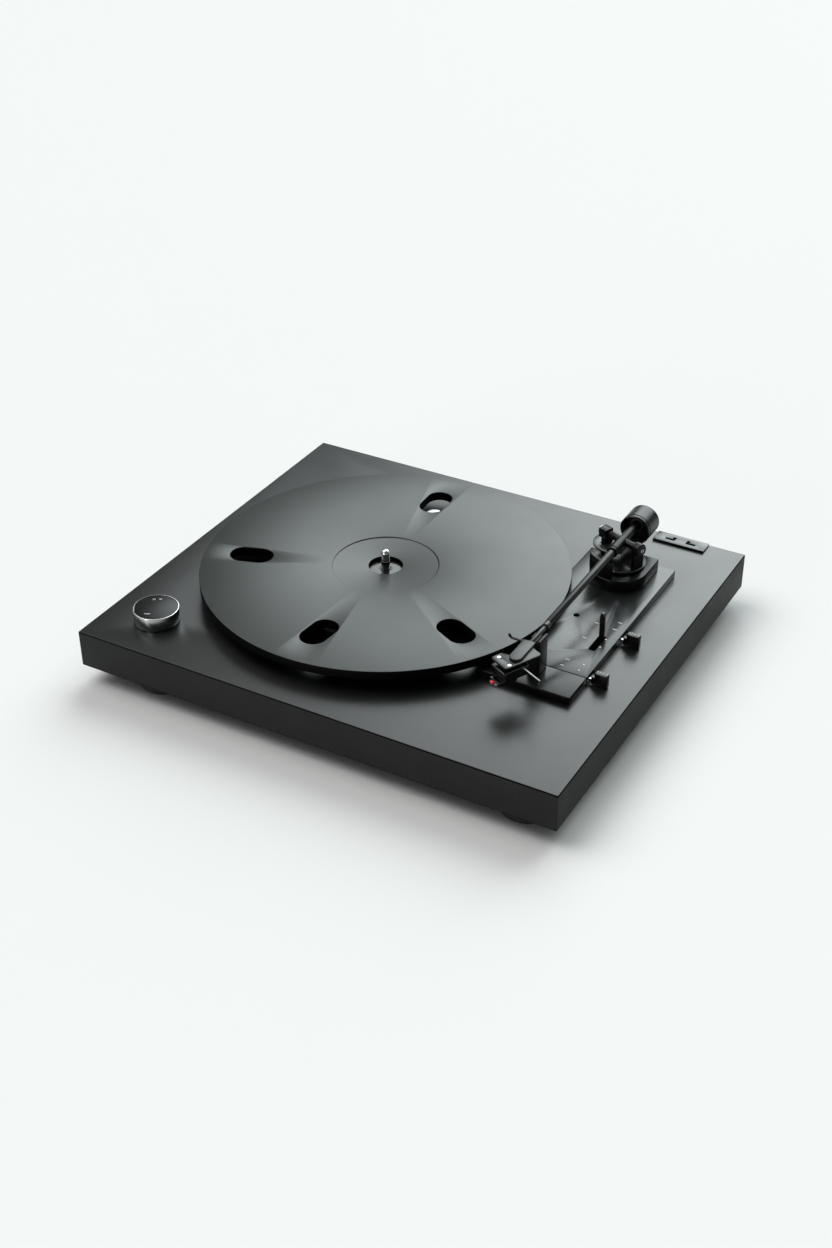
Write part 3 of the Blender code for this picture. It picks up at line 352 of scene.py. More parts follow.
SLOT_FINISHES = {
    "plinth_black": PLINTH_BLACK, "cover_black": COVER_BLACK, "rubber_black": FOOT_RUBBER,
    "platter_grey": PLATTER_GREY, "plate_grey": PLATE_GREY, "plastic_black": MOULDED_BLACK,
    "gloss_black": GLOSS_BLACK, "arm_black": ARM_BLACK, "chrome": CHROME, "brushed": BEARING_METAL,
    "steel": STEEL, "bronze": BRONZE, "belt_rubber": BELT, "gear_white": GEAR, "board_green": BOARD,
    "stylus_red": STYLUS_RED,
}


# ------------------------------------------------------------------------------------------ bench

class Bench:
    """Mesh operations on solids in millimetres."""

    @staticmethod
    def block(low: Point, high: Point) -> BMesh:
        """Make a block between two corners.

        Args:
            low: the lowest corner.
            high: the highest corner.

        Returns:
            The solid.
        """
        made = bmesh.new()
        bmesh.ops.create_cube(made, size=1.0)
        start, end = Vector(low), Vector(high)
        bmesh.ops.scale(made, vec=end - start, verts=made.verts)
        bmesh.ops.translate(made, vec=(start + end) / 2, verts=made.verts)
        return made

    @staticmethod
    def aim(made: BMesh, start: Vector, way: Vector) -> BMesh:
        """Bring a solid drawn along +Z from the origin to a place and a direction.

        Args:
            made: the solid.
            start: where its origin goes.
            way: where its +Z goes.

        Returns:
            The same solid.
        """
        turn = Vector((0, 0, 1)).rotation_difference(Vector(way)).to_matrix()
        bmesh.ops.rotate(made, cent=(0, 0, 0), matrix=turn, verts=made.verts)
        bmesh.ops.translate(made, vec=Vector(start), verts=made.verts)
        return made

    @classmethod
    def rod(cls, start: Point, end: Point, radius: float, radius_end: float | None = None,
            segments: int = SMALL) -> BMesh:
        """Make a round bar or a cone between two points.

        Args:
            start: the middle of the first end.
            end: the middle of the other end.
            radius: the radius at the first end.
            radius_end: the radius at the other end, if it differs.
            segments: faces around it.

        Returns:
            The solid.
        """
        way = Vector(end) - Vector(start)
        made = bmesh.new()
        bmesh.ops.create_cone(made, cap_ends=True, segments=segments, radius1=radius,
                              radius2=radius if radius_end is None else radius_end, depth=way.length)
        bmesh.ops.translate(made, vec=(0, 0, way.length / 2), verts=made.verts)
        return cls.aim(made, Vector(start), way)

    @classmethod
    def bore(cls, place: Vector, low: float, high: float, radius: float) -> BMesh:
        """Make the cutter of an upright round hole.

        Args:
            place: a point on its axis.
            low: the height where it starts.
            high: the height where it ends.
            radius: its radius.

        Returns:
            The solid, which reaches past both heights.
        """
        return cls.rod((*place.xy, low - PAST), (*place.xy, high + PAST), radius)

    @classmethod
    def turned(cls, profile: list[Flat], start: Point, way: Point = (0, 0, 1),
               segments: int = ROUND) -> BMesh:
        """Turn a profile on a lathe.

        Args:
            profile: pairs of radius and height, from one end of the axis to the other or as a closed ring.
            start: where the profile's height 0 is.
            way: the axis's direction.
            segments: faces around it.

        Returns:
            The solid.
        """
        made = bmesh.new()
        points = [made.verts.new((radius, 0.0, height)) for radius, height in profile]
        pairs = list(zip(points, points[1:]))
        if profile[0][0] > 1e-6:
            pairs.append((points[-1], points[0]))
        edges = [made.edges.new(pair) for pair in pairs]
        bmesh.ops.spin(made, geom=points + edges, cent=(0, 0, 0), axis=(0, 0, 1), angle=math.tau,
                       steps=segments, use_merge=True)
        bmesh.ops.remove_doubles(made, verts=made.verts, dist=1e-4)
        bmesh.ops.recalc_face_normals(made, faces=made.faces)
        return cls.aim(made, Vector(start), Vector(way))

    @staticmethod
    def slab(outline: list[Flat], low: float, high: float) -> BMesh:
        """Extrude a flat outline between two heights.

        Args:
            outline: its corners in order.
            low: the bottom's height.
            high: the top's height.

        Returns:
            The solid.
        """
        made = bmesh.new()
        face = made.faces.new([made.verts.new((x, y, low)) for x, y in outline])
        grown = bmesh.ops.extrude_face_region(made, geom=[face])
        moved = [item for item in grown["geom"] if isinstance(item, bmesh.types.BMVert)]
        bmesh.ops.translate(made, vec=(0, 0, high - low), verts=moved)
        bmesh.ops.recalc_face_normals(made, faces=made.faces)
        return made

    @staticmethod
    def arc(centre: Flat, radius: float, start: float, end: float, steps: int) -> list[Flat]:
        """List points along an arc.

        Args:
            centre: its centre.
            radius: its radius.
            start: its first angle, in degrees.
            end: its last angle, in degrees.
            steps: stretches between the points.

        Returns:
            The points.
        """
        angles = [math.radians(start + (end - start) * i / steps) for i in range(steps + 1)]
        return [(centre[0] + radius * math.cos(a), centre[1] + radius * math.sin(a)) for a in angles]

    @classmethod
    def rounded(cls, low: Flat, high: Flat, radius: float, steps: int = 8) -> list[Flat]:
        """List the outline of a rectangle with round corners.

        Args:
            low: its lowest corner.
            high: its highest corner.
            radius: the corners' radius.
            steps: stretches in each corner.

        Returns:
            The points.
        """
        centres = (((high[0] - radius, high[1] - radius), 0), ((low[0] + radius, high[1] - radius), 90),
                   ((low[0] + radius, low[1] + radius), 180), ((high[0] - radius, low[1] + radius), 270))
        corners = [cls.arc(centre, radius, start, start + 90, steps) for centre, start in centres]
        return [point for corner in corners for point in corner]

    @staticmethod
    def shift(made: BMesh, place: Point, turn: float = 0.0, axis: str = "Z") -> BMesh:
        """Turn a solid about the origin, then move it.

        Args:
            made: the solid.
            place: how far it moves.
            turn: how far it turns, in degrees.
            axis: what it turns about.

        Returns:
            The same solid.
        """
        bmesh.ops.rotate(made, cent=(0, 0, 0), matrix=Matrix.Rotation(math.radians(turn), 3, axis),
                         verts=made.verts)
        bmesh.ops.translate(made, vec=Vector(place), verts=made.verts)
        return made

    @staticmethod
    def wire(points: list[Point], radius: float) -> BMesh:
        """Bend a round wire through points.

        Args:
            points: its middle line.
            radius: its radius.

        Returns:
            The solid.
        """
        curve = bpy.data.curves.new("wire", "CURVE")
        curve.dimensions = "3D"
        curve.bevel_depth = radius
        curve.bevel_resolution = 6
        curve.use_fill_caps = True
        spline = curve.splines.new("POLY")
        spline.points.add(len(points) - 1)
        for place, point in zip(spline.points, points):
            place.co = (*point, 1.0)
        made = Bench.evaluated(curve)
        bmesh.ops.remove_doubles(made, verts=made.verts, dist=1e-4)
        bmesh.ops.recalc_face_normals(made, faces=made.faces)
        return made

    @staticmethod
    def evaluated(data: bpy.types.ID, changes: tuple[tuple[str, BMesh], ...] = ()) -> BMesh:
        """Evaluate a curve, text or mesh with Boolean modifiers, and free what was used.

        Args:
            data: the curve, text or mesh.
            changes: Boolean operations and their solids.

        Returns:
            The result.
        """
        item = bpy.data.objects.new("blank", data)
        bpy.context.scene.collection.objects.link(item)
        tools = []
        for operation, solid in changes:
            mesh = bpy.data.meshes.new("tool")
            solid.to_mesh(mesh)
            solid.free()
            tool = bpy.data.objects.new("tool", mesh)
            bpy.context.scene.collection.objects.link(tool)
            tools.append(tool)
            change = item.modifiers.new("change", "BOOLEAN")
            change.operation = operation
            change.object = tool
        bpy.context.view_layer.update()
        mesh = bpy.data.meshes.new_from_object(item.evaluated_get(bpy.context.evaluated_depsgraph_get()))
        made = bmesh.new()
        made.from_mesh(mesh)
        for used in [item, *tools]:
            bpy.data.objects.remove(used)
        bpy.data.meshes.remove(mesh)
        return made

    @classmethod
    def shape(cls, solid: BMesh, join: tuple[BMesh, ...] = (), carve: tuple[BMesh, ...] = ()) -> BMesh:
        """Join solids to a solid, then carve others out of it.

        Args:
            solid: the solid to start from.
            join: what is added.
            carve: what is taken away.

        Returns:
            The result.
        """
        mesh = bpy.data.meshes.new("blank")
        solid.to_mesh(mesh)
        solid.free()
        changes = (*(("UNION", member) for member in join), *(("DIFFERENCE", member) for member in carve))
        made = cls.evaluated(mesh, changes)
        bmesh.ops.remove_doubles(made, verts=made.verts, dist=1e-3)
        bmesh.ops.dissolve_degenerate(made, edges=made.edges, dist=1e-3)
        return made

    @staticmethod
    def soften(made: BMesh, width: float, segments: int = 2, sharp: float = 35.0) -> BMesh:
        """Round the edges that are sharper than an angle.

        Args:
            made: the solid.
            width: the rounding's width.
            segments: faces across it.
            sharp: the angle between faces that counts as an edge, in degrees.

        Returns:
            The same solid.
        """
        limit = math.radians(sharp)
        edges = [edge for edge in made.edges
                 if len(edge.link_faces) == 2 and edge.calc_face_angle(0.0) > limit]
        bmesh.ops.bevel(made, geom=edges, offset=width, offset_type="OFFSET", affect="EDGES",
                        segments=segments, profile=0.5, clamp_overlap=False, material=-1)
        return made

    @staticmethod
    def shade(made: BMesh) -> None:
        """Shade curved and narrow faces smooth, and wide flat ones flat, so that a wide face keeps its sheen.

        Faces in one plane count as one, however a cut has divided them.

        Args:
            made: the solid.
        """
        made.normal_update()
        planes: dict[tuple[float, ...], list[bmesh.types.BMFace]] = {}
        for face in made.faces:
            offset = face.normal.dot(face.verts[0].co)
            plane = (*(round(value, 2) for value in face.normal), round(offset, 1))
            planes.setdefault(plane, []).append(face)
        for faces in planes.values():
            longest = max(edge.calc_length() for face in faces for edge in face.edges)
            width = sum(face.calc_area() for face in faces) / longest
            bends = [edge.calc_face_angle(math.pi) for face in faces for edge in face.edges
                     if len(edge.link_faces) == 2]
            curved = width < WIDE_FACE and any(GENTLE_BEND[0] < bend < GENTLE_BEND[1] for bend in bends)
            for face in faces:
                face.smooth = curved or width < NARROW_FACE


def finished(name: str, made: BMesh, finish: Finish, body: str, stands_for: tuple[str, ...] = ()) -> Object:
    """Turn a solid into a piece that rides on a body.

    Args:
        name: the piece's name.
        made: the solid, in millimetres.
        finish: its material.
        body: the frame body that it moves with.
        stands_for: the frame nodes that it replaces.

    Returns:
        The piece.
    """
    Bench.shade(made)
    bmesh.ops.scale(made, vec=(MM, MM, MM), verts=made.verts)
    mesh = bpy.data.meshes.new(name)
    made.to_mesh(mesh)
    made.free()
    mesh.materials.append(finish.material())
    mesh.set_sharp_from_angle(angle=SHARP_EDGE)
    item = bpy.data.objects.new(name, mesh)
    bpy.context.scene.collection.objects.link(item)
    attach(item, body)
    if stands_for:
        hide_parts(*stands_for)
    LOG.info("%s: %d faces on %s", name, len(mesh.polygons), body)
    return item


def repaint(item: Object, finishes: tuple[Finish, ...], choose: Callable[[float], int]) -> None:
    """Give some faces other finishes.

    Args:
        item: the piece.
        finishes: the finishes that join its own.
        choose: picks a finish's number from how far up a face looks, from -1 to 1.
    """
    for finish in finishes:
        item.data.materials.append(finish.material())
    for face in item.data.polygons:
        face.material_index = choose(face.normal.z)


# ------------------------------------------------------------------------------------------ plinth

@dataclass
class Plinth:
    """The case: its shell, its feet, the dust cover's hinge sockets and the rear connections."""
    edge: float = 1.0
    wall: float = 16.0
    deck_thickness: float = 6.0
    rebate: float = 5.7
    rebate_depth: float = 3.3
    arm_opening_left: float = 112.0
    arm_opening_front: float = -24.0
    arm_opening_rear: float = 112.0
    hinge_inset: float = 9.5
    hinge_foot: float = 8.5
    hinge_leg: float = 5.6
    hinge_stroke: float = 2.4
    body: str = "base"

    def shell(self) -> None:
        """Build the shell with its rounded edges, its cavity and its openings."""
        span = Span.of("plinth")
        low, high = span.low, span.high
        ceiling = high.z - self.deck_thickness
        motor, cue = Span.of("motor_pulley"), Span.of("cue_bracket")
        window = Span.of("rear_panel")
        made = Bench.soften(Bench.block(low, high), self.edge, 4)
        inner = Vector((self.wall, self.wall, 0.0))
        rim = Vector((self.rebate, self.rebate, 0.0))
        carve = (
            Bench.block(low + rim - Vector((0, 0, PAST)), (*(high - rim).xy, low.z + self.rebate_depth)),
            Bench.block(low + inner, (*(high - inner).xy, ceiling)),
            Bench.bore(SPINDLE, ceiling, high.z, 11.3),
            Bench.bore(motor.centre, ceiling, high.z, 8.0),
            Bench.bore(KNOB, ceiling, high.z, 3.6),
            Bench.block((self.arm_opening_left, self.arm_opening_front, ceiling - PAST),
                        (cue.high.x + 1.3, self.arm_opening_rear, high.z + PAST)),
            Bench.block((window.low.x + 6, high.y - self.wall - PAST, low.z + 6),
                        (window.high.x - 6, high.y + PAST, ceiling - 1)),
        )
        made = Bench.shape(made, carve=carve)
        item = finished("plinth_shell", made, PLINTH_BLACK, self.body, ("plinth",))
        # the rounded edges are painted near black as painted shade
        repaint(item, (SIDE_BLACK, PAINTED_SHADE_BLACK), self.finish_of)

    @staticmethod
    def finish_of(up: float) -> int:
        """Pick a face's finish: 0 if it is level, 1 if it is upright and 2 on the rounded edges."""
        # finish 2 is the near-black painted shade on the rounded edges
        return 0 if abs(up) > 0.97 else 1 if abs(up) < 0.1 else 2

    def feet(self) -> None:
        """Build the four rubber feet, each with a groove and a sunk sole."""
        for place in ("front_left", "front_right", "rear_left", "rear_right"):
            span = Span.of(f"foot_{place}")
            radius, top = span.size.x / 2, span.high.z
            profile = [(0, top), (radius, top), (radius, 8.6), (radius - 0.9, 8.0), (radius - 0.9, 7.0),
                       (radius, 6.4), (radius, 3.0), (radius - 0.5, 1.6), (radius - 1.5, 0.5),
                       (radius - 3.0, 0.0), (12.0, 0.0), (11.0, 1.2), (0, 1.2)]
            made = Bench.turned(profile, (*span.centre.xy, 0.0))
            finished(f"foot_pad_{place}", made, FOOT_RUBBER, self.body, (f"foot_{place}",))

    def hinge_sockets(self) -> None:
        """Build the plate with two L-shaped slots for the dust cover's hinges."""
        span = Span.of("hinge_socket_plate")
        low, high = span.low, span.high
        front, bottom, top = span.centre.y - 2.6, low.z + 0.3, high.z + PAST
        cutters = []
        for start, way in ((low.x + self.hinge_inset, 1), (high.x - self.hinge_inset, -1)):
            corner = start + way * self.hinge_foot
            foot = sorted((start, corner))
            leg = sorted((corner, corner - way * self.hinge_stroke))
            cutters.append(Bench.block((foot[0], front, bottom), (foot[1], front + self.hinge_stroke, top)))
            cutters.append(Bench.block((leg[0], front, bottom), (leg[1], front + self.hinge_leg, top)))
        # each slot's floor gets a thin near-black slab as painted shade
        for number, cutter in enumerate(cutters):
            recess = cutter.copy()
            bmesh.ops.bisect_plane(recess, geom=recess.verts[:] + recess.edges[:] + recess.faces[:],
                                   plane_co=(0, 0, low.z + 0.4), plane_no=(0, 0, 1), clear_outer=True)
            bmesh.ops.holes_fill(recess, edges=recess.edges, sides=0)
            finished(f"hinge_slot_painted_shade_{number}", recess, PAINTED_SHADE_BLACK, self.body)
        made = Bench.shape(Bench.block(low, high), carve=tuple(cutters))
        finished("hinge_sockets", Bench.soften(made, 0.25), GLOSS_BLACK, self.body, ("hinge_socket_plate",))

    def connections(self) -> None:
        """Build the sockets at the rear, with their coloured insulators and the ground screw."""
        for side, tint in (("left", SIGNAL_WHITE), ("right", SIGNAL_RED)):
            span = Span.of(f"phono_socket_{side}")
            centre, rear = span.centre, span.high.y
            profile = [(1.7, 0), (3.9, 0), (4.1, 0.3), (4.1, 7.4), (6.0, 7.6), (6.0, 9.0), (4.1, 9.2),
                       (4.1, 17.0), (1.7, 17.0)]
            made = Bench.turned(profile, (centre.x, rear, centre.z), (0, -1, 0), SMALL)
            finished(f"phono_sleeve_{side}", made, STEEL, self.body, (f"phono_socket_{side}",))
            ring = Bench.turned([(4.4, 0), (6.6, 0), (6.6, 1.2), (4.4, 1.2)],
                                (centre.x, rear - 5.2, centre.z), (0, -1, 0), SMALL)
            finished(f"phono_colour_ring_{side}", Bench.soften(ring, 0.2), tint, self.body)
        span = Span.of("ground_terminal")
        centre, rear = span.centre, span.high.y
        profile = [(0, 0), (3.2, 0), (4.0, 0.6), (4.0, 1.8), (3.6, 2.2), (4.0, 2.6), (4.0, 6.0), (2.0, 6.2),
                   (2.0, 14.2), (0, 14.2)]
        made = Bench.turned(profile, (centre.x, rear, centre.z), (0, -1, 0), SMALL)
        finished("ground_screw", made, BEARING_METAL, self.body, ("ground_terminal",))

    def build(self) -> None:
        """Build every piece of the case."""
        self.shell()
        self.feet()
        self.hinge_sockets()
        self.connections()


# ------------------------------------------------------------------------------------------ platter

@dataclass
class Platter:
    """The platter with its slots, its hub and the spindle."""
    body: str = "platter"
    label_radius: float = 43.5
    label_depth: float = 0.8
    bore: float = 14.0
    slot_long: float = 36.4
    slot_wide: float = 22.0
    # Each slot: its direction from the spindle, its distance from it, and the turn of its long axis
    slots: tuple[tuple[float, float, float], ...] = (
        (97.0, 110.0, 92.5), (201.3, 112.0, 18.0), (272.6, 110.0, 85.0), (329.0, 112.8, 153.5))

    def slot_cutter(self, angle: float, distance: float, turn: float, low: float, high: float) -> BMesh:
        """Make the cutter of one slot.

        Args:
            angle: its direction from the spindle, in degrees.
            distance: its distance from the spindle.
            turn: its long axis's direction, in degrees.
            low: the cutter's bottom.
            high: the cutter's top.

        Returns:
            The cutter.
        """
        half = (self.slot_long - self.slot_wide) / 2
        outline = (Bench.arc((half, 0.0), self.slot_wide / 2, -90, 90, 28)
                   + Bench.arc((-half, 0.0), self.slot_wide / 2, 90, 270, 28))
        x = SPINDLE.x + distance * math.cos(math.radians(angle))
        y = SPINDLE.y + distance * math.sin(math.radians(angle))
        return Bench.shift(Bench.slab(outline, low, high), (x, y, 0.0), turn)

    def disc(self) -> None:
        """Build the platter's disc, with its label recess, its slots and its rounded rim."""
        span = Span.of("platter")
        radius = span.size.x / 2
        low, high = span.low.z, span.high.z
        profile = [(self.bore, high - self.label_depth), (self.label_radius, high - self.label_depth),
                   (self.label_radius + 0.3, high), (radius, high), (radius, low + 0.8), (radius - 0.8, low),
                   (self.bore, low)]
        made = Bench.turned(profile, (*SPINDLE.xy, 0.0), segments=FINE)
        cutters = tuple(self.slot_cutter(*slot, low - PAST, high + PAST) for slot in self.slots)
        made = Bench.soften(Bench.shape(made, carve=cutters), 0.35, 3, 50)
        item = finished("platter_disc", made, PLATTER_GREY, self.body, ("platter",))
        # the rim, the underside, the bore and the slots' walls are painted near black as painted shade
        repaint(item, (PLATTER_PAINTED_SHADE,), lambda up: int(up < 0.3))

    def hub(self) -> None:
        """Build the hub's ring that shows in the bore."""
        top = Span.of("platter").high.z - 4.5
        profile = [(4.6, top - 1.0), (5.4, top), (13.2, top), (13.7, top - 0.5), (13.7, top - 2.4),
                   (4.6, top - 2.4)]
        made = Bench.turned(profile, (*SPINDLE.xy, 0.3))
        finished("hub_ring", made, GLOSS_BLACK, self.body)

    def spindle(self) -> None:
        """Build the spindle with its domed tip and its groove."""
        span = Span.of("spindle")
        radius, top, low = span.size.x / 2, span.high.z, span.low.z
        dome = [(radius * math.sin(math.radians(a)), top - radius + radius * math.cos(math.radians(a)))
                for a in range(0, 91, 9)]
        rest = [(radius, top - 9.0), (radius - 0.25, top - 9.3), (radius - 0.25, top - 9.9),
                (radius, top - 10.2), (radius, low), (0.0, low)]
        made = Bench.turned(dome + rest, (*SPINDLE.xy, 0.0), segments=BAR)
        finished("spindle_pin", made, CHROME, self.body, ("spindle",))

    def build(self) -> None:
        """Build every piece of the platter."""
        self.disc()
        self.hub()
        self.spindle()


# ------------------------------------------------------------------------------------------ speed knob

@dataclass
class SpeedKnob:
    """The turned metal knob with its inlaid black cap and its printed numbers."""
    body: str = "speed_knob"
    numbers: tuple[tuple[str, float], ...] = (("33", 134.0), ("45", 108.0))
    reading_turn: float = 27.0
    number_height: float = 2.6
    number_radius: float = 12.0
    cap_overlap: float = 0.4

    def ring(self) -> None:
        """Build the knob's metal ring."""
        span = Span.of("speed_knob_ring")
        radius, top, stem = span.size.x / 2, span.high.z, span.low.z
        seat, low = top - 1.3, DECK + 0.4
        profile = [(0, seat), (radius - 0.9, seat), (radius - 0.85, top - 0.1), (radius - 0.75, top),
                   (radius - 0.4, top), (radius - 0.15, top - 0.1), (radius, top - 0.35), (radius, low + 0.6),
                   (radius - 0.3, low), (3.0, low), (3.0, stem), (0, stem)]
        made = Bench.turned(profile, (*KNOB.xy, 0.0), segments=WIDE)
        finished("knob_ring", made, KNOB_METAL, self.body, ("speed_knob_ring",))

    def cap(self) -> None:
        """Build the black inlay with its soft edge."""
        span = Span.of("speed_knob_cap")
        radius, low, top = span.size.x / 2 + self.cap_overlap, span.low.z, span.high.z
        profile = [(0, top), (radius - 0.8, top), (radius - 0.2, top - 0.15), (radius, top - 0.4),
                   (radius, low), (0, low)]
        made = Bench.turned(profile, (*KNOB.xy, 0.0), segments=WIDE)
        finished("knob_cap", made, BLOCK_BLACK, self.body, ("speed_knob_cap",))

    def print_marks(self) -> None:
        """Print the two speeds at the cap's rear and a pointer at its front."""
        top = Span.of("speed_knob_cap").high.z
        pointer = Bench.block((-2.4, -0.3, 0.0), (2.4, 0.3, PRINT_HEIGHT))
        made = Bench.shift(pointer, (KNOB.x - 0.4, KNOB.y - 11.0, top), self.reading_turn)
        for words, angle in self.numbers:
            x = KNOB.x + self.number_radius * math.cos(math.radians(angle))
            y = KNOB.y + self.number_radius * math.sin(math.radians(angle))
            number = self.lettering(words, self.number_height)
            made = Bench.shape(made, join=(Bench.shift(number, (x, y, top), self.reading_turn),))
        finished("knob_print", made, PRINT, self.body)

    @staticmethod
    def lettering(words: str, height: float) -> BMesh:
        """Make flat raised figures.

        Args:
            words: the figures.
            height: their size.

        Returns:
            The solid, centred on the origin.
        """
        text = bpy.data.curves.new("figures", "FONT")
        text.body = words
        text.size = height
        text.align_x = "CENTER"
        text.align_y = "CENTER"
        text.extrude = PRINT_HEIGHT / 2
        text.resolution_u = 4
        made = Bench.evaluated(text)
        bmesh.ops.remove_doubles(made, verts=made.verts, dist=1e-4)
        bmesh.ops.translate(made, vec=(0, 0, PRINT_HEIGHT / 2), verts=made.verts)
        return made

    def build(self) -> None:
        """Build every piece of the knob."""
        self.ring()
        self.cap()
        self.print_marks()


# ------------------------------------------------------------------------------------------ controls

@dataclass
class ControlPlate:
    """The raised plate with its printed marks, its end block, its sliders and the cue lever."""
    body: str = "base"
    marks: dict[str, tuple[Flat, ...]] = field(default_factory=lambda: {
        "arrow": ((163.4, -0.1), (163.6, -11.7)),
        "dash": ((147.5, 17.3), (147.7, -5.9), (163.6, 26.2), (163.6, 15.8), (148.8, -38.9), (148.3, -47.7)),
        "dot": ((162.7, -39.1), (162.6, -47.7)),
    })

    def plate(self) -> None:
        """Build the plate with the lever's slot, the pivot's hole and the sliders' openings."""
        span = Span.of("tonearm_plate")
        lever = joint_place("cue_lever_tilt")
        hole = Span.of("set_down_screw").centre
        low, high = span.low, span.high
        cutters = [
            Bench.slab(Bench.rounded((lever.x - 2.9, lever.y - 19.5), (lever.x + 2.9, lever.y + 2.9), 1.2),
                       low.z - PAST, high.z + PAST),
            Bench.bore(PIVOT, low.z, high.z, 7.0),
            Bench.bore(LIFT_ROD, low.z, high.z, 2.5),
            Bench.bore(hole, low.z, high.z, 2.5),
        ]
        for pin, travel in (("size_selector_pin", 10.4), ("start_stop_pin", 8.6)):
            place = Span.of(pin).centre
            cutters.append(Bench.block((high.x - 8, place.y - 2.0, place.z - 1.9),
                                       (high.x + 3, place.y + travel + 2.0, place.z + 1.9)))
        made = Bench.shape(Bench.block(low, high), carve=tuple(cutters))
        finished("control_plate", Bench.soften(made, 0.25, 2), PLATE_GREY, self.body, ("tonearm_plate",))
        block = Span.of("plate_end_block")
        made = Bench.soften(Bench.block(block.low, block.high), 0.4, 3)
        finished("end_block", made, BLOCK_BLACK, self.body, ("plate_end_block",))

    def print_marks(self) -> None:
        """Print the small marks that stand for the settings."""
        top = Span.of("tonearm_plate").high.z
        solids = []
        for kind, places in self.marks.items():
            for x, y in places:
                if kind == "arrow":
                    outline = [(x - 1.0, y - 0.8), (x + 1.0, y - 0.8), (x, y + 0.9)]
                elif kind == "dash":
                    outline = Bench.rounded((x - 1.7, y - 0.35), (x + 1.7, y + 0.35), 0.3, 3)
                else:
                    outline = Bench.arc((x, y), 0.6, 0, 345, 23)
                solids.append(Bench.slab(outline, top, top + PRINT_HEIGHT))
        made = Bench.shape(solids[0], join=tuple(solids[1:]))
        finished("plate_print", made, PRINT, self.body)

    def set_down_screw(self) -> None:
        """Build the slotted adjusting screw in its hole."""
        span = Span.of("set_down_screw")
        radius, top = span.size.x / 2, span.high.z
        made = Bench.turned([(0, top), (radius - 0.3, top), (radius, top - 0.3), (radius, span.low.z),
                             (0, span.low.z)], (*span.centre.xy, 0.0), segments=SMALL)
        x, y = span.centre.xy
        made = Bench.shape(made, carve=(Bench.block((x - 3, y - 0.3, top - 0.8), (x + 3, y + 0.3, top + 1)),))
        finished("adjusting_screw", made, STEEL, self.body, ("set_down_screw",))

    def slider(self, name: str) -> None:
        """Build one selector: a ribbed black block on its neck and bright pin.

        Args:
            name: the slider's body.
        """
        knob, pin = Span.of(f"{name}_knob"), Span.of(f"{name}_pin")
        made = Bench.soften(Bench.block(knob.low, knob.high), 0.7, 3)
        ribs = []
        for step in range(-1, 2):
            x = knob.centre.x + step * 2.4
            ribs.append(Bench.block((x - 0.45, knob.low.y - 1, knob.high.z - 0.5),
                                    (x + 0.45, knob.high.y + 1, knob.high.z + 1)))
        made = Bench.shape(made, carve=tuple(ribs))
        finished(f"{name}_grip", made, GLOSS_BLACK, name, (f"{name}_knob",))
        radius, length = pin.size.y / 2, pin.size.x
        profile = [(0, 0), (radius - 0.3, 0), (radius, 0.3), (radius, length * 0.45),
                   (radius - 0.5, length * 0.5), (radius - 0.5, length * 0.62), (radius, length * 0.67),
                   (radius, length), (0, length)]
        made = Bench.turned(profile, (pin.low.x, pin.centre.y, pin.centre.z), (1, 0, 0), SMALL)
        finished(f"{name}_shaft", made, CHROME, name, (f"{name}_pin",))
        neck = Bench.block((pin.high.x - 2.6, knob.low.y + 0.9, DECK + 1.2),
                           (pin.high.x + 0.3, knob.high.y - 0.9, DECK + 7.4))
        y, z = pin.centre.yz
        hole = Bench.rod((pin.high.x - 5, y, z), (pin.high.x + 1, y, z), radius + 0.05)
        made = Bench.shape(neck, carve=(hole,))
        finished(f"{name}_neck", made, MOULDED_BLACK, name)

    def cue_lever(self) -> None:
        """Build the lever: a slim stick with a rounded tip that grows out of a round hub."""
        span = Span.of("cue_lever")
        x, y, z = joint_place("cue_lever_tilt")
        half, top = span.size.x / 2, span.high.z
        stick = Bench.slab([(-2.0, 2.0), (2.0, 2.0), (2.0, top - z - 5), (1.5, top - z), (-1.5, top - z),
                            (-2.0, top - z - 5)], -1.6, 1.6)
        stick = Bench.shift(Bench.soften(stick, 0.5, 3), (x, y, z), 90, "X")
        hub = Bench.soften(Bench.rod((x - half, y, z), (x + half, y, z), 4.0), 0.3)
        tail = Bench.block((x - 1.5, y - 1.5, z - 8), (x + 1.5, y + 1.5, z))
        bore = Bench.rod((x - 9, y, z), (x + 9, y, z), 1.8)
        made = Bench.shape(stick, join=(hub, tail), carve=(bore,))
        finished("lever_stick", made, MOULDED_BLACK, "cue_lever", ("cue_lever",))

    def cue_lift(self) -> None:
        """Build the curved lift under the arm, with its round top and its push rod."""
        span = Span.of("cue_lift")
        inner, outer = 24.5, 27.5
        top, low = span.high.z, Span.of("pivot_base").high.z + 0.5
        outline = Bench.arc(PIVOT.xy, outer, -137, -82, 40) + Bench.arc(PIVOT.xy, inner, -82, -137, 40)
        rod = Bench.rod((*LIFT_ROD.xy, span.low.z), (*LIFT_ROD.xy, low + 2.5), 1.4)
        made = Bench.shape(Bench.slab(outline, low, top), join=(rod,))
        finished("lift_rail", Bench.soften(made, 0.3), BASE_BLACK, "cue_lift", ("cue_lift",))

    def build(self) -> None:
        """Build every piece of the controls."""
        self.plate()
        self.print_marks()
        self.set_down_screw()
        self.slider("size_selector")
        self.slider("start_stop")
        self.cue_lever()
        self.cue_lift()


# ------------------------------------------------------------------------------------------ arm mount

def along_tilt(distance: float) -> Vector:
    """Find the point of the tilt axis at a distance right of the pivot."""
    return PIVOT + Matrix.Rotation(math.radians(TILT_TURN), 3, "Z") @ Vector((distance, 0.0, 0.0))


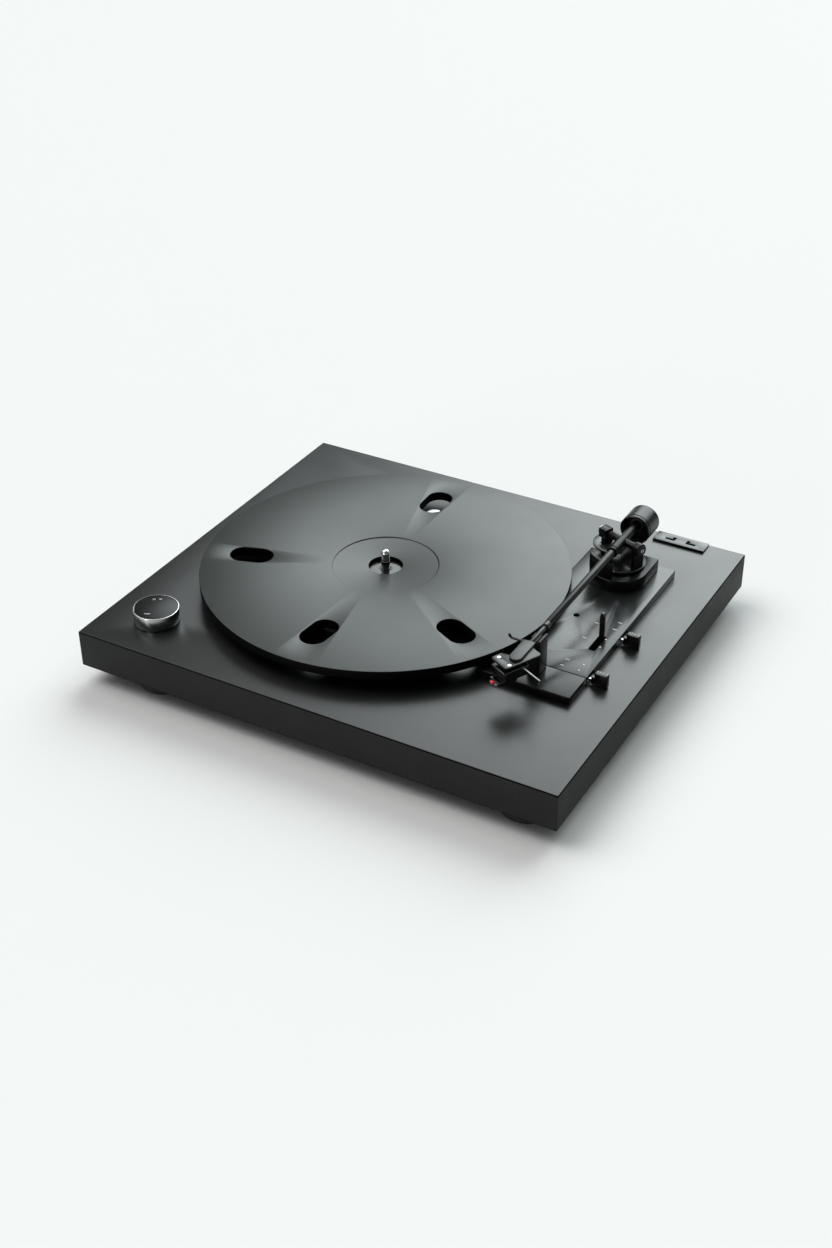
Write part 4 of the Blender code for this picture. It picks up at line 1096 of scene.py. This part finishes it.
@dataclass
class ArmMount:
    """The pedestal, the swinging yoke with its bearings, and the arm rest with its clip."""
    body: str = "swing"

    @staticmethod
    def turned_block(low: Point, high: Point, edge: float) -> BMesh:
        """Make a rounded block in line with the tilt axis.

        Args:
            low: its lowest corner, from the pivot.
            high: its highest corner, from the pivot.
            edge: the width of its rounded edges.

        Returns:
            The solid.
        """
        made = Bench.soften(Bench.block(low, high), edge, 3)
        return Bench.shift(made, PIVOT, TILT_TURN)

    def pedestal(self) -> None:
        """Build the fixed pedestal, round in front and flat behind."""
        span = Span.of("pivot_base")
        centre = (PIVOT.x + 1.0, PIVOT.y - 6.0)
        low, high = span.low.z, span.high.z
        rear = [(centre[0] + 24, span.high.y), (centre[0] - 24, span.high.y)]
        outline = Bench.arc(centre, 24.0, 180, 360, 72) + rear
        made = Bench.soften(Bench.slab(outline, low, high), 0.6, 3, 50)
        carve = (Bench.bore(PIVOT, low, high, 6.3), Bench.bore(LIFT_ROD, low, high, 2.3))
        made = Bench.shape(made, carve=carve)
        finished("pedestal", made, BASE_BLACK, "base", ("pivot_base",))

    def yoke(self) -> None:
        """Build the yoke's floor, its two uprights, the left block and the right round cap."""
        span = Span.of("yoke")
        floor = span.low.z
        rise = floor - PIVOT.z
        disc = Bench.turned([(0, floor + 2.7), (19.0, floor + 2.7), (20.0, floor + 2.1), (20.0, floor + 0.5),
                             (19.5, floor), (0, floor)], (*PIVOT.xy, 0.0))
        right_post = self.turned_block((15.2, -5.2, rise + 1), (19.2, 5.2, -1), 0.5)
        left_post = self.turned_block((-19.4, -4.8, rise + 1), (-15.2, 4.8, -3), 0.5)
        left_block = self.turned_block((-23.0, -4.4, -4.4), (-14.8, 4.4, 3.9), 0.6)
        way = along_tilt(1.0) - PIVOT
        cap = Bench.turned([(0, 0), (4.9, 0), (5.4, 0.5), (5.4, 1.6), (5.1, 1.9), (5.1, 2.5), (5.4, 2.8),
                            (5.4, 6.1), (4.7, 6.8), (0, 6.8)], along_tilt(14.8), way, BAR)
        carve = (
            Bench.rod(along_tilt(-30), along_tilt(30), 2.3),
            self.turned_block((-22.0, -2.9, 2.9), (-15.8, -2.1, 5.0), 0.05),
            self.turned_block((-22.0, 2.1, 2.9), (-15.8, 2.9, 5.0), 0.05),
        )
        made = Bench.shape(disc, join=(right_post, left_post, left_block, cap), carve=carve)
        finished("yoke_frame", made, YOKE_BLACK, self.body, ("yoke",))
        edge = Bench.turned([(19.4, floor + 2.72), (20.05, floor + 2.2), (20.05, floor + 1.8),
                             (19.2, floor + 1.8)],
                            (*PIVOT.xy, 0.0))
        finished("yoke_bright_edge", edge, BRIGHT_EDGE, self.body)

    def shelf(self) -> None:
        """Build the thin shelf beside the pivot."""
        span = Span.of("yoke_shelf")
        centre = (PIVOT.x - 10.5, PIVOT.y + 7.5)
        low, high = span.low.z, span.high.z
        made = Bench.rod((*centre, low), (*centre, high), 17.0, segments=ROUND)
        block = Bench.block((-19.7, -5.3, low - 4 - PIVOT.z), (-14.9, 5.3, high + 4 - PIVOT.z))
        carve = (
            Bench.block((centre[0] - 25, PIVOT.y + 12, low - 2), (centre[0] + 25, PIVOT.y + 40, high + 2)),
            Bench.block((PIVOT.x + 2, PIVOT.y - 20, low - 2), (PIVOT.x + 20, PIVOT.y + 20, high + 2)),
            Bench.shift(block, PIVOT, TILT_TURN),
        )
        made = Bench.shape(made, carve=carve)
        finished("side_shelf", Bench.soften(made, 0.3), PLATE_GREY, self.body, ("yoke_shelf",))

    def bearing_screws(self) -> None:
        """Build the slotted bearing screws at both ends of the tilt axis."""
        nut = [(0, 0), (2.0, 0), (2.0, 8.9), (3.0, 8.9), (3.3, 9.2), (3.3, 9.9), (3.0, 10.1), (2.0, 10.1),
               (1.8, 10.4), (0, 10.4)]
        pin = [(0, 0), (2.0, 0), (2.0, 7.5), (1.6, 8.0), (0, 8.0)]
        for side, shape, profile, way, slit in (("left", "nut", nut, -1, (-26.0, -24.2)),
                                                ("right", "pin", pin, 1, (21.8, 24.0))):
            made = Bench.turned(profile, along_tilt(way * 14.4), along_tilt(way) - PIVOT, SMALL)
            cutter = Bench.shift(Bench.block((slit[0], -0.3, -3), (slit[1], 0.3, 3)), PIVOT, TILT_TURN)
            made = Bench.shape(made, carve=(cutter,))
            finished(f"bearing_{shape}_{side}", made, STEEL, self.body, (f"bearing_screw_{side}",))

    def rest(self) -> None:
        """Build the arm rest's post with its lip, and the clip that flips over the arm."""
        span = Span.of("arm_rest")
        low, high = span.low, span.high
        hinge = joint_place("rest_clip_flip")
        seat = DECK + 34.8
        made = Bench.soften(Bench.block(low, (high.x, high.y, seat)), 0.45, 3)
        lip = Bench.soften(Bench.block((high.x - 2.0, low.y, seat - 2), high), 0.45, 3)
        pin = Bench.rod((hinge.x, hinge.y - 2.9, hinge.z), (hinge.x, hinge.y + 2.9, hinge.z), 0.6)
        notch = Bench.block((low.x - 1, hinge.y - 2.4, hinge.z - 4.6), (low.x + 2.9, hinge.y + 2.4, seat + 3))
        mesh = Bench.shape(Bench.shape(made, join=(lip,), carve=(notch,)), join=(pin,))
        finished("rest_post", mesh, MOULDED_BLACK, "base", ("arm_rest",))
        clip = Span.of("arm_rest_clip")
        bend = 3.4
        corner = (clip.low.x + 1.1 + bend, hinge.z - 1.0 + bend)
        curl = [(x, hinge.y, z) for x, z in Bench.arc(corner, bend, 270, 180, 12)]
        start = [(hinge.x - 1.0, hinge.y, hinge.z - 0.6), (hinge.x - 2.4, hinge.y, hinge.z - 1.0)]
        wire = Bench.wire(start + curl, 1.05)
        barrel = Bench.turned([(0.9, -2.1), (1.5, -2.1), (1.7, -1.9), (1.7, 1.9), (1.5, 2.1), (0.9, 2.1)],
                              hinge, (0, 1, 0), SMALL)
        bore = Bench.rod((hinge.x, hinge.y - 4, hinge.z), (hinge.x, hinge.y + 4, hinge.z), 0.9)
        made = Bench.shape(wire, join=(barrel,), carve=(bore,))
        finished("rest_hook", made, MOULDED_BLACK, "rest_clip", ("arm_rest_clip",))

    def build(self) -> None:
        """Build every piece of the mount."""
        self.pedestal()
        self.yoke()
        self.shelf()
        self.bearing_screws()
        self.rest()


# ------------------------------------------------------------------------------------------ tonearm

@dataclass
class Tonearm:
    """The arm: its hub and tube, the headshell with the cartridge, and the counterweight."""
    head_turn: float = 26.5
    head_x: float = 127.0
    head_y: float = -104.0
    screw_reach: float = 6.35
    body: str = "arm"

    def head(self, made: BMesh) -> BMesh:
        """Bring a solid drawn with the cartridge along -Y to its turned place.

        Args:
            made: the solid.

        Returns:
            The same solid.
        """
        return Bench.shift(made, (self.head_x, self.head_y, 0.0), -self.head_turn)

    def hub(self) -> None:
        """Build the sleeve with its ring grooves, the stub behind it and the cross arms."""
        span = Span.of("arm_hub")
        front, rear = span.low.y, span.high.y
        start = (PIVOT.x, front, PIVOT.z)
        length = rear - front
        sleeve = PIVOT.y - front
        profile = [(3.55, 0.0), (4.3, 0.0), (4.7, 0.4), (4.7, 2.2), (4.2, 2.5), (4.2, 3.3), (4.7, 3.6),
                   (4.7, sleeve - 0.6), (3.9, sleeve), (3.9, length - 0.5), (3.4, length), (0.0, length),
                   (0.0, 12.5), (3.55, 12.5)]
        made = Bench.turned(profile, start, (0, 1, 0), BAR)
        cross = Bench.soften(Bench.rod(along_tilt(-13.4), along_tilt(13.4), 3.1), 0.3)
        cups = tuple(Bench.rod(along_tilt(side * 11.6), along_tilt(side * 20), 2.3) for side in (-1, 1))
        made = Bench.shape(made, join=(cross,), carve=cups)
        finished("arm_sleeve", made, YOKE_BLACK, self.body, ("arm_hub",))

    def tube(self) -> None:
        """Build the tapered tube with its collar at the front."""
        span = Span.of("arm_tube")
        length = span.size.y
        profile = [(0, 0), (2.3, 0), (2.9, 0.6), (2.9, 5.0), (2.75, 5.3), (2.75, 6.0), (2.92, 6.3),
                   (3.3, length), (0, length)]
        made = Bench.turned(profile, (PIVOT.x, span.low.y, PIVOT.z), (0, 1, 0), BAR)
        finished("tube", made, ARM_BLACK, self.body, ("arm_tube",))

    def headshell(self) -> None:
        """Build the carrier with its screws' holes, the flat neck and the strip up to the tube."""
        span = Span.of("headshell")
        top = span.high.z
        carrier_top, carrier_low = top - 2.1, top - 3.6
        neck_front, neck_rear = -102.0, -74.5
        tail = Span.of("arm_tube").low.y
        outline = Bench.rounded((-9.3, -5.5), (9.3, 27.5), 2.5)
        carrier = self.head(Bench.slab(outline, carrier_low, carrier_top))
        holes = tuple(self.head(Bench.bore(Vector((x, 0, 0)), carrier_low, top, 1.4))
                      for x in (-self.screw_reach, self.screw_reach))
        off = Bench.block((PIVOT.x - 30, neck_rear - 21, carrier_low - PAST),
                          (PIVOT.x - 5.9, neck_rear + 30, top + PAST))
        carrier = Bench.soften(Bench.shape(carrier, carve=(off, *holes)), 0.3, 2)
        finished("head_carrier", carrier, ARM_BLACK, self.body, ("headshell",))
        round_end = Bench.arc((PIVOT.x - 0.85, neck_front + 4.85), 4.85, 180, 360, 24)
        outline = round_end + [(PIVOT.x + 4.0, neck_rear), (PIVOT.x - 5.7, neck_rear)]
        neck = Bench.slab(outline, carrier_top + 0.02, top)
        finished("head_neck", Bench.soften(neck, 0.45, 3), ARM_BLACK, self.body)
        strip = Bench.rod((PIVOT.x, neck_rear - 4, top - 1.6), (PIVOT.x, tail + 0.5, PIVOT.z), 1.5, 2.0)
        finished("head_strip", Bench.soften(strip, 0.3), ARM_BLACK, self.body)

    def finger_lift(self) -> None:
        """Build the thin metal lift with its turned-down end."""
        span = Span.of("finger_lift")
        low = span.high.z - 0.9
        outline = [(-2.0, 8.6), (9.0, 8.6), (13.0, 8.9), (30.5, 8.9), (30.5, 10.1), (13.0, 10.1), (9.0, 10.4),
                   (-2.0, 10.4)]
        bar = Bench.slab(outline, low, low + 0.9)
        end = Bench.block((29.7, 8.9, span.low.z), (30.5, 10.1, low + 0.4))
        made = Bench.soften(Bench.shape(bar, join=(end,)), 0.15, 2)
        finished("finger_bar", self.head(made), LIFT_METAL, self.body, ("finger_lift",))

    def cartridge(self) -> None:
        """Build the cartridge's body with its brow and ribs."""
        span = Span.of("cartridge_body")
        low, high = span.low.z, span.high.z
        made = Bench.soften(Bench.block((-8.2, -6.0, low), (8.2, 17.0, high)), 0.8, 3)
        carve = [Bench.block((-9, -7, low - 1), (9, -4.6, low + 4.0))]
        for step in range(4):
            y = 2.0 + step * 3.2
            carve += [Bench.block((side * 8.6 - 0.6, y, low + 1.5), (side * 8.6 + 0.6, y + 1.2, high - 1.5))
                      for side in (-1, 1)]
        made = Bench.shape(made, carve=tuple(carve))
        finished("cartridge", self.head(made), GLOSS_BLACK, self.body, ("cartridge_body",))

    def cartridge_bolts(self) -> None:
        """Build the two slotted screws that hold the cartridge."""
        for side, x in (("left", -self.screw_reach), ("right", self.screw_reach)):
            span = Span.of(f"cartridge_screw_{side}")
            seat, top = span.high.z - 1.4, span.high.z
            profile = [(0, top), (1.5, top), (2.1, top - 0.3), (2.3, top - 0.7), (2.3, seat), (1.1, seat),
                       (1.1, span.low.z), (0, span.low.z)]
            made = Bench.turned(profile, (x, 0, 0), segments=SMALL)
            slit = Bench.block((x - 3, -0.3, top - 0.6), (x + 3, 0.3, top + 1))
            made = self.head(Bench.shape(made, carve=(slit,)))
            finished(f"cartridge_bolt_{side}", made, CHROME, self.body, (f"cartridge_screw_{side}",))

    @staticmethod
    def standing(profile: list[Flat], left: float, right: float) -> BMesh:
        """Extrude a side view sideways.

        Args:
            profile: its corners, as pairs of y and z.
            left: the x where it starts.
            right: the x where it ends.

        Returns:
            The solid.
        """
        made = Bench.slab(profile, left, right)
        upright = Matrix(((0, 0, 1), (1, 0, 0), (0, 1, 0)))
        bmesh.ops.transform(made, matrix=upright.to_4x4(), verts=made.verts)
        bmesh.ops.recalc_face_normals(made, faces=made.faces)
        return made

    def stylus(self) -> None:
        """Build the stylus holder with its guard, its red inlay, its cantilever and its tip."""
        span = Span.of("stylus_holder")
        low, high = span.low.z, span.high.z
        wedge = self.standing([(-11.0, low + 0.6), (3.0, low), (8.0, low + 0.8), (8.0, high), (-7.0, high)],
                              -4.6, 4.6)
        wedge = self.head(Bench.soften(wedge, 0.3))
        finished("stylus_guard", wedge, GLOSS_BLACK, self.body, ("stylus_holder",))
        inlay = Bench.slab(Bench.rounded((-2.6, -10.9), (0.6, -7.6), 0.5), low + 0.9, high - 0.9)
        finished("stylus_inlay", self.head(Bench.soften(inlay, 0.2)), STYLUS_RED, self.body)
        side_view = [(-9.2, low + 1.2), (3.0, low + 0.3), (8.3, low + 0.3), (8.3, high), (-7.3, high)]
        right, left = self.standing(side_view, 4.62, 5.6), self.standing(side_view, -5.6, -4.62)
        brow = Bench.block((-5.6, -8.6, high - 1.6), (5.6, -5.0, high))
        made = Bench.shape(right, join=(left, brow))
        finished("stylus_skirt", self.head(Bench.soften(made, 0.2)), GLOSS_BLACK, self.body)
        tip = Span.of("stylus_cantilever")
        rod = Bench.rod((0, -2.0, tip.high.z - 0.4), (0, -10.4, tip.low.z + 0.4), 0.35, 0.22, 16)
        diamond = Bench.rod((0, -10.2, tip.low.z + 0.4), (0, -10.4, tip.low.z), 0.2, 0.03, 12)
        made = Bench.shape(rod, join=(diamond,))
        finished("cantilever", self.head(made), STEEL, self.body, ("stylus_cantilever",))

    def counterweight(self) -> None:
        """Build the weight: a bell with grooves and a bevelled rear, on its rubber bush."""
        span = Span.of("counterweight")
        radius, length = span.size.x / 2, span.size.y
        centre = span.centre
        profile = [(0.0, 8.0), (radius - 1.8, 8.0), (radius - 1.8, 0.4), (radius - 1.4, 0.0),
                   (radius - 0.7, 0.0), (radius, 0.7), (radius, 2.4), (radius - 0.45, 2.7),
                   (radius - 0.45, 3.6), (radius, 3.9), (radius, length - 1.8), (radius - 1.8, length),
                   (0.0, length)]
        made = Bench.turned(profile, (centre.x, span.low.y, centre.z), (0, 1, 0), WIDE)
        bore = Bench.rod((PIVOT.x, span.low.y - 5, PIVOT.z), (PIVOT.x, span.high.y - 1.5, PIVOT.z), 6.3)
        made = Bench.shape(made, carve=(bore,))
        finished("weight_bell", made, ARM_BLACK, "counterweight", ("counterweight",))
        bush = Span.of("counterweight_bush")
        made = Bench.turned([(4.2, 0), (5.7, 0), (6.0, 0.3), (6.0, bush.size.y), (4.2, bush.size.y)],
                            (PIVOT.x, bush.low.y, PIVOT.z), (0, 1, 0), BAR)
        finished("weight_bush", made, FOOT_RUBBER, "counterweight", ("counterweight_bush",))

    def build(self) -> None:
        """Build every piece of the arm."""
        self.hub()
        self.tube()
        self.headshell()
        self.finger_lift()
        self.cartridge()
        self.cartridge_bolts()
        self.stylus()
        self.counterweight()


# ------------------------------------------------------------------------------------------ studio

@dataclass(frozen=True)
class Glow:
    """A soft bright patch of the studio around a direction.

    Inner and outer are the angles from its middle, in degrees, where it starts to fade and where it ends.
    """
    yaw: float
    rise: float
    inner: float
    outer: float
    strength: float
    tint: Colour = (1.0, 1.0, 1.0)

    def add(self, tree: NodeTree, way: NodeSocket, light: NodeSocket) -> NodeSocket:
        """Add this glow's light to the light so far.

        Args:
            tree: the world's nodes.
            way: the socket that gives the direction.
            light: the socket that gives the light so far.

        Returns:
            The socket with both.
        """
        yaw, rise = math.radians(self.yaw), math.radians(self.rise)
        middle = (math.sin(yaw) * math.cos(rise), math.cos(yaw) * math.cos(rise), math.sin(rise))
        near = add_node(tree, "VectorMath", {1: middle}, {0: way}, operation="DOT_PRODUCT").outputs["Value"]
        reach = {"From Min": math.cos(math.radians(self.outer)),
                 "From Max": math.cos(math.radians(self.inner)), "To Min": 0.0, "To Max": self.strength}
        fade = add_node(tree, "MapRange", reach, {"Value": near}, interpolation_type="SMOOTHSTEP")
        share = {"Scale": fade.outputs["Result"]}
        tinted = add_node(tree, "VectorMath", {0: self.tint}, share, operation="SCALE")
        both = {0: light, 1: tinted.outputs["Vector"]}
        return add_node(tree, "VectorMath", {}, both, operation="ADD").outputs["Vector"]


@dataclass
class Studio:
    """The pale floor, the soft lights and the camera, whose reach and the floor's are in metres."""
    base: Colour = (0.13, 0.135, 0.135)
    glows: tuple[Glow, ...] = (
        Glow(-3.0, 38.0, 14.0, 36.0, 5.7, (0.93, 1.0, 1.0)),
        Glow(-105.0, 58.0, 12.0, 32.0, 4.8, (1.0, 0.99, 0.985)),
        Glow(-168.0, 6.0, 3.0, 12.0, 9.0),
    )
    floor_colour: Colour = (0.60, 0.605, 0.60)
    camera_place: Point = (578.07, -1021.88, 801.79)
    yaw: float = -0.519461
    pitch: float = 0.590191
    roll: float = 0.00783964
    lens: float = 49.27
    sensor: float = 36.0
    view_distance: float = 20.0
    floor_reach: float = 6.0

    def camera(self) -> None:
        """Set up the camera."""
        data = bpy.data.cameras.new("camera")
        data.lens = self.lens
        data.sensor_width = self.sensor
        data.sensor_fit = "AUTO"
        data.clip_end = self.view_distance
        item = bpy.data.objects.new("camera", data)
        forward = Vector((math.sin(self.yaw) * math.cos(self.pitch),
                          math.cos(self.yaw) * math.cos(self.pitch), -math.sin(self.pitch)))
        right = Vector((math.cos(self.yaw), -math.sin(self.yaw), 0.0))
        down = forward.cross(right)
        across = right * math.cos(self.roll) + down * math.sin(self.roll)
        along = down * math.cos(self.roll) - right * math.sin(self.roll)
        turn = Matrix((across, -along, -forward)).transposed()
        item.matrix_world = Matrix.Translation(Vector(self.camera_place) * MM) @ turn.to_4x4()
        bpy.context.scene.collection.objects.link(item)
        bpy.context.scene.camera = item

    def floor(self) -> None:
        """Lay the pale floor."""
        made = bmesh.new()
        bmesh.ops.create_grid(made, x_segments=8, y_segments=8, size=self.floor_reach)
        mesh = bpy.data.meshes.new("floor")
        made.to_mesh(mesh)
        made.free()
        finish = bpy.data.materials.new("floor_pale")
        finish.use_nodes = True
        shader = finish.node_tree.nodes["Principled BSDF"]
        shader.inputs["Base Color"].default_value = (*self.floor_colour, 1.0)
        shader.inputs["Roughness"].default_value = 0.85
        shader.inputs["Specular IOR Level"].default_value = 0.1
        mesh.materials.append(finish)
        item = bpy.data.objects.new("floor", mesh)
        bpy.context.scene.collection.objects.link(item)

    def world(self) -> None:
        """Fill the room with soft light: an even base, and wide glows that fade at their edges."""
        world = bpy.data.worlds.new("studio")
        bpy.context.scene.world = world
        world.use_nodes = True
        tree = world.node_tree
        background = tree.nodes["Background"]
        way = add_node(tree, "TexCoord", {}, {}).outputs["Generated"]
        light = add_node(tree, "CombineXYZ", dict(enumerate(self.base)), {}).outputs["Vector"]
        for glow in self.glows:
            light = glow.add(tree, way, light)
        tree.links.new(light, background.inputs["Color"])
        background.inputs["Strength"].default_value = 1.0

    def build(self) -> None:
        """Set up the whole studio."""
        bpy.context.scene.view_settings.view_transform = "Standard"
        self.camera()
        self.floor()
        self.world()


def dress_frame() -> None:
    """Give every frame node that stays in view the finish of its material slot."""
    for entry in frame["record"]["subparts"]:
        node = frame["nodes"][entry["node"]]
        finish = SLOT_FINISHES[entry["material_slot"]]
        for slot in node.material_slots:
            slot.material = finish.material()
        LOG.info("%s: %s", entry["node"], finish.name)


def main() -> None:
    """Build the looks in order."""
    logging.basicConfig(level=logging.INFO, format="%(name)s: %(message)s")
    dress_frame()
    for assembly in (Plinth(), Platter(), SpeedKnob(), ControlPlate(), ArmMount(), Tonearm(), Studio()):
        assembly.build()


if __name__ == "__main__":
    main()
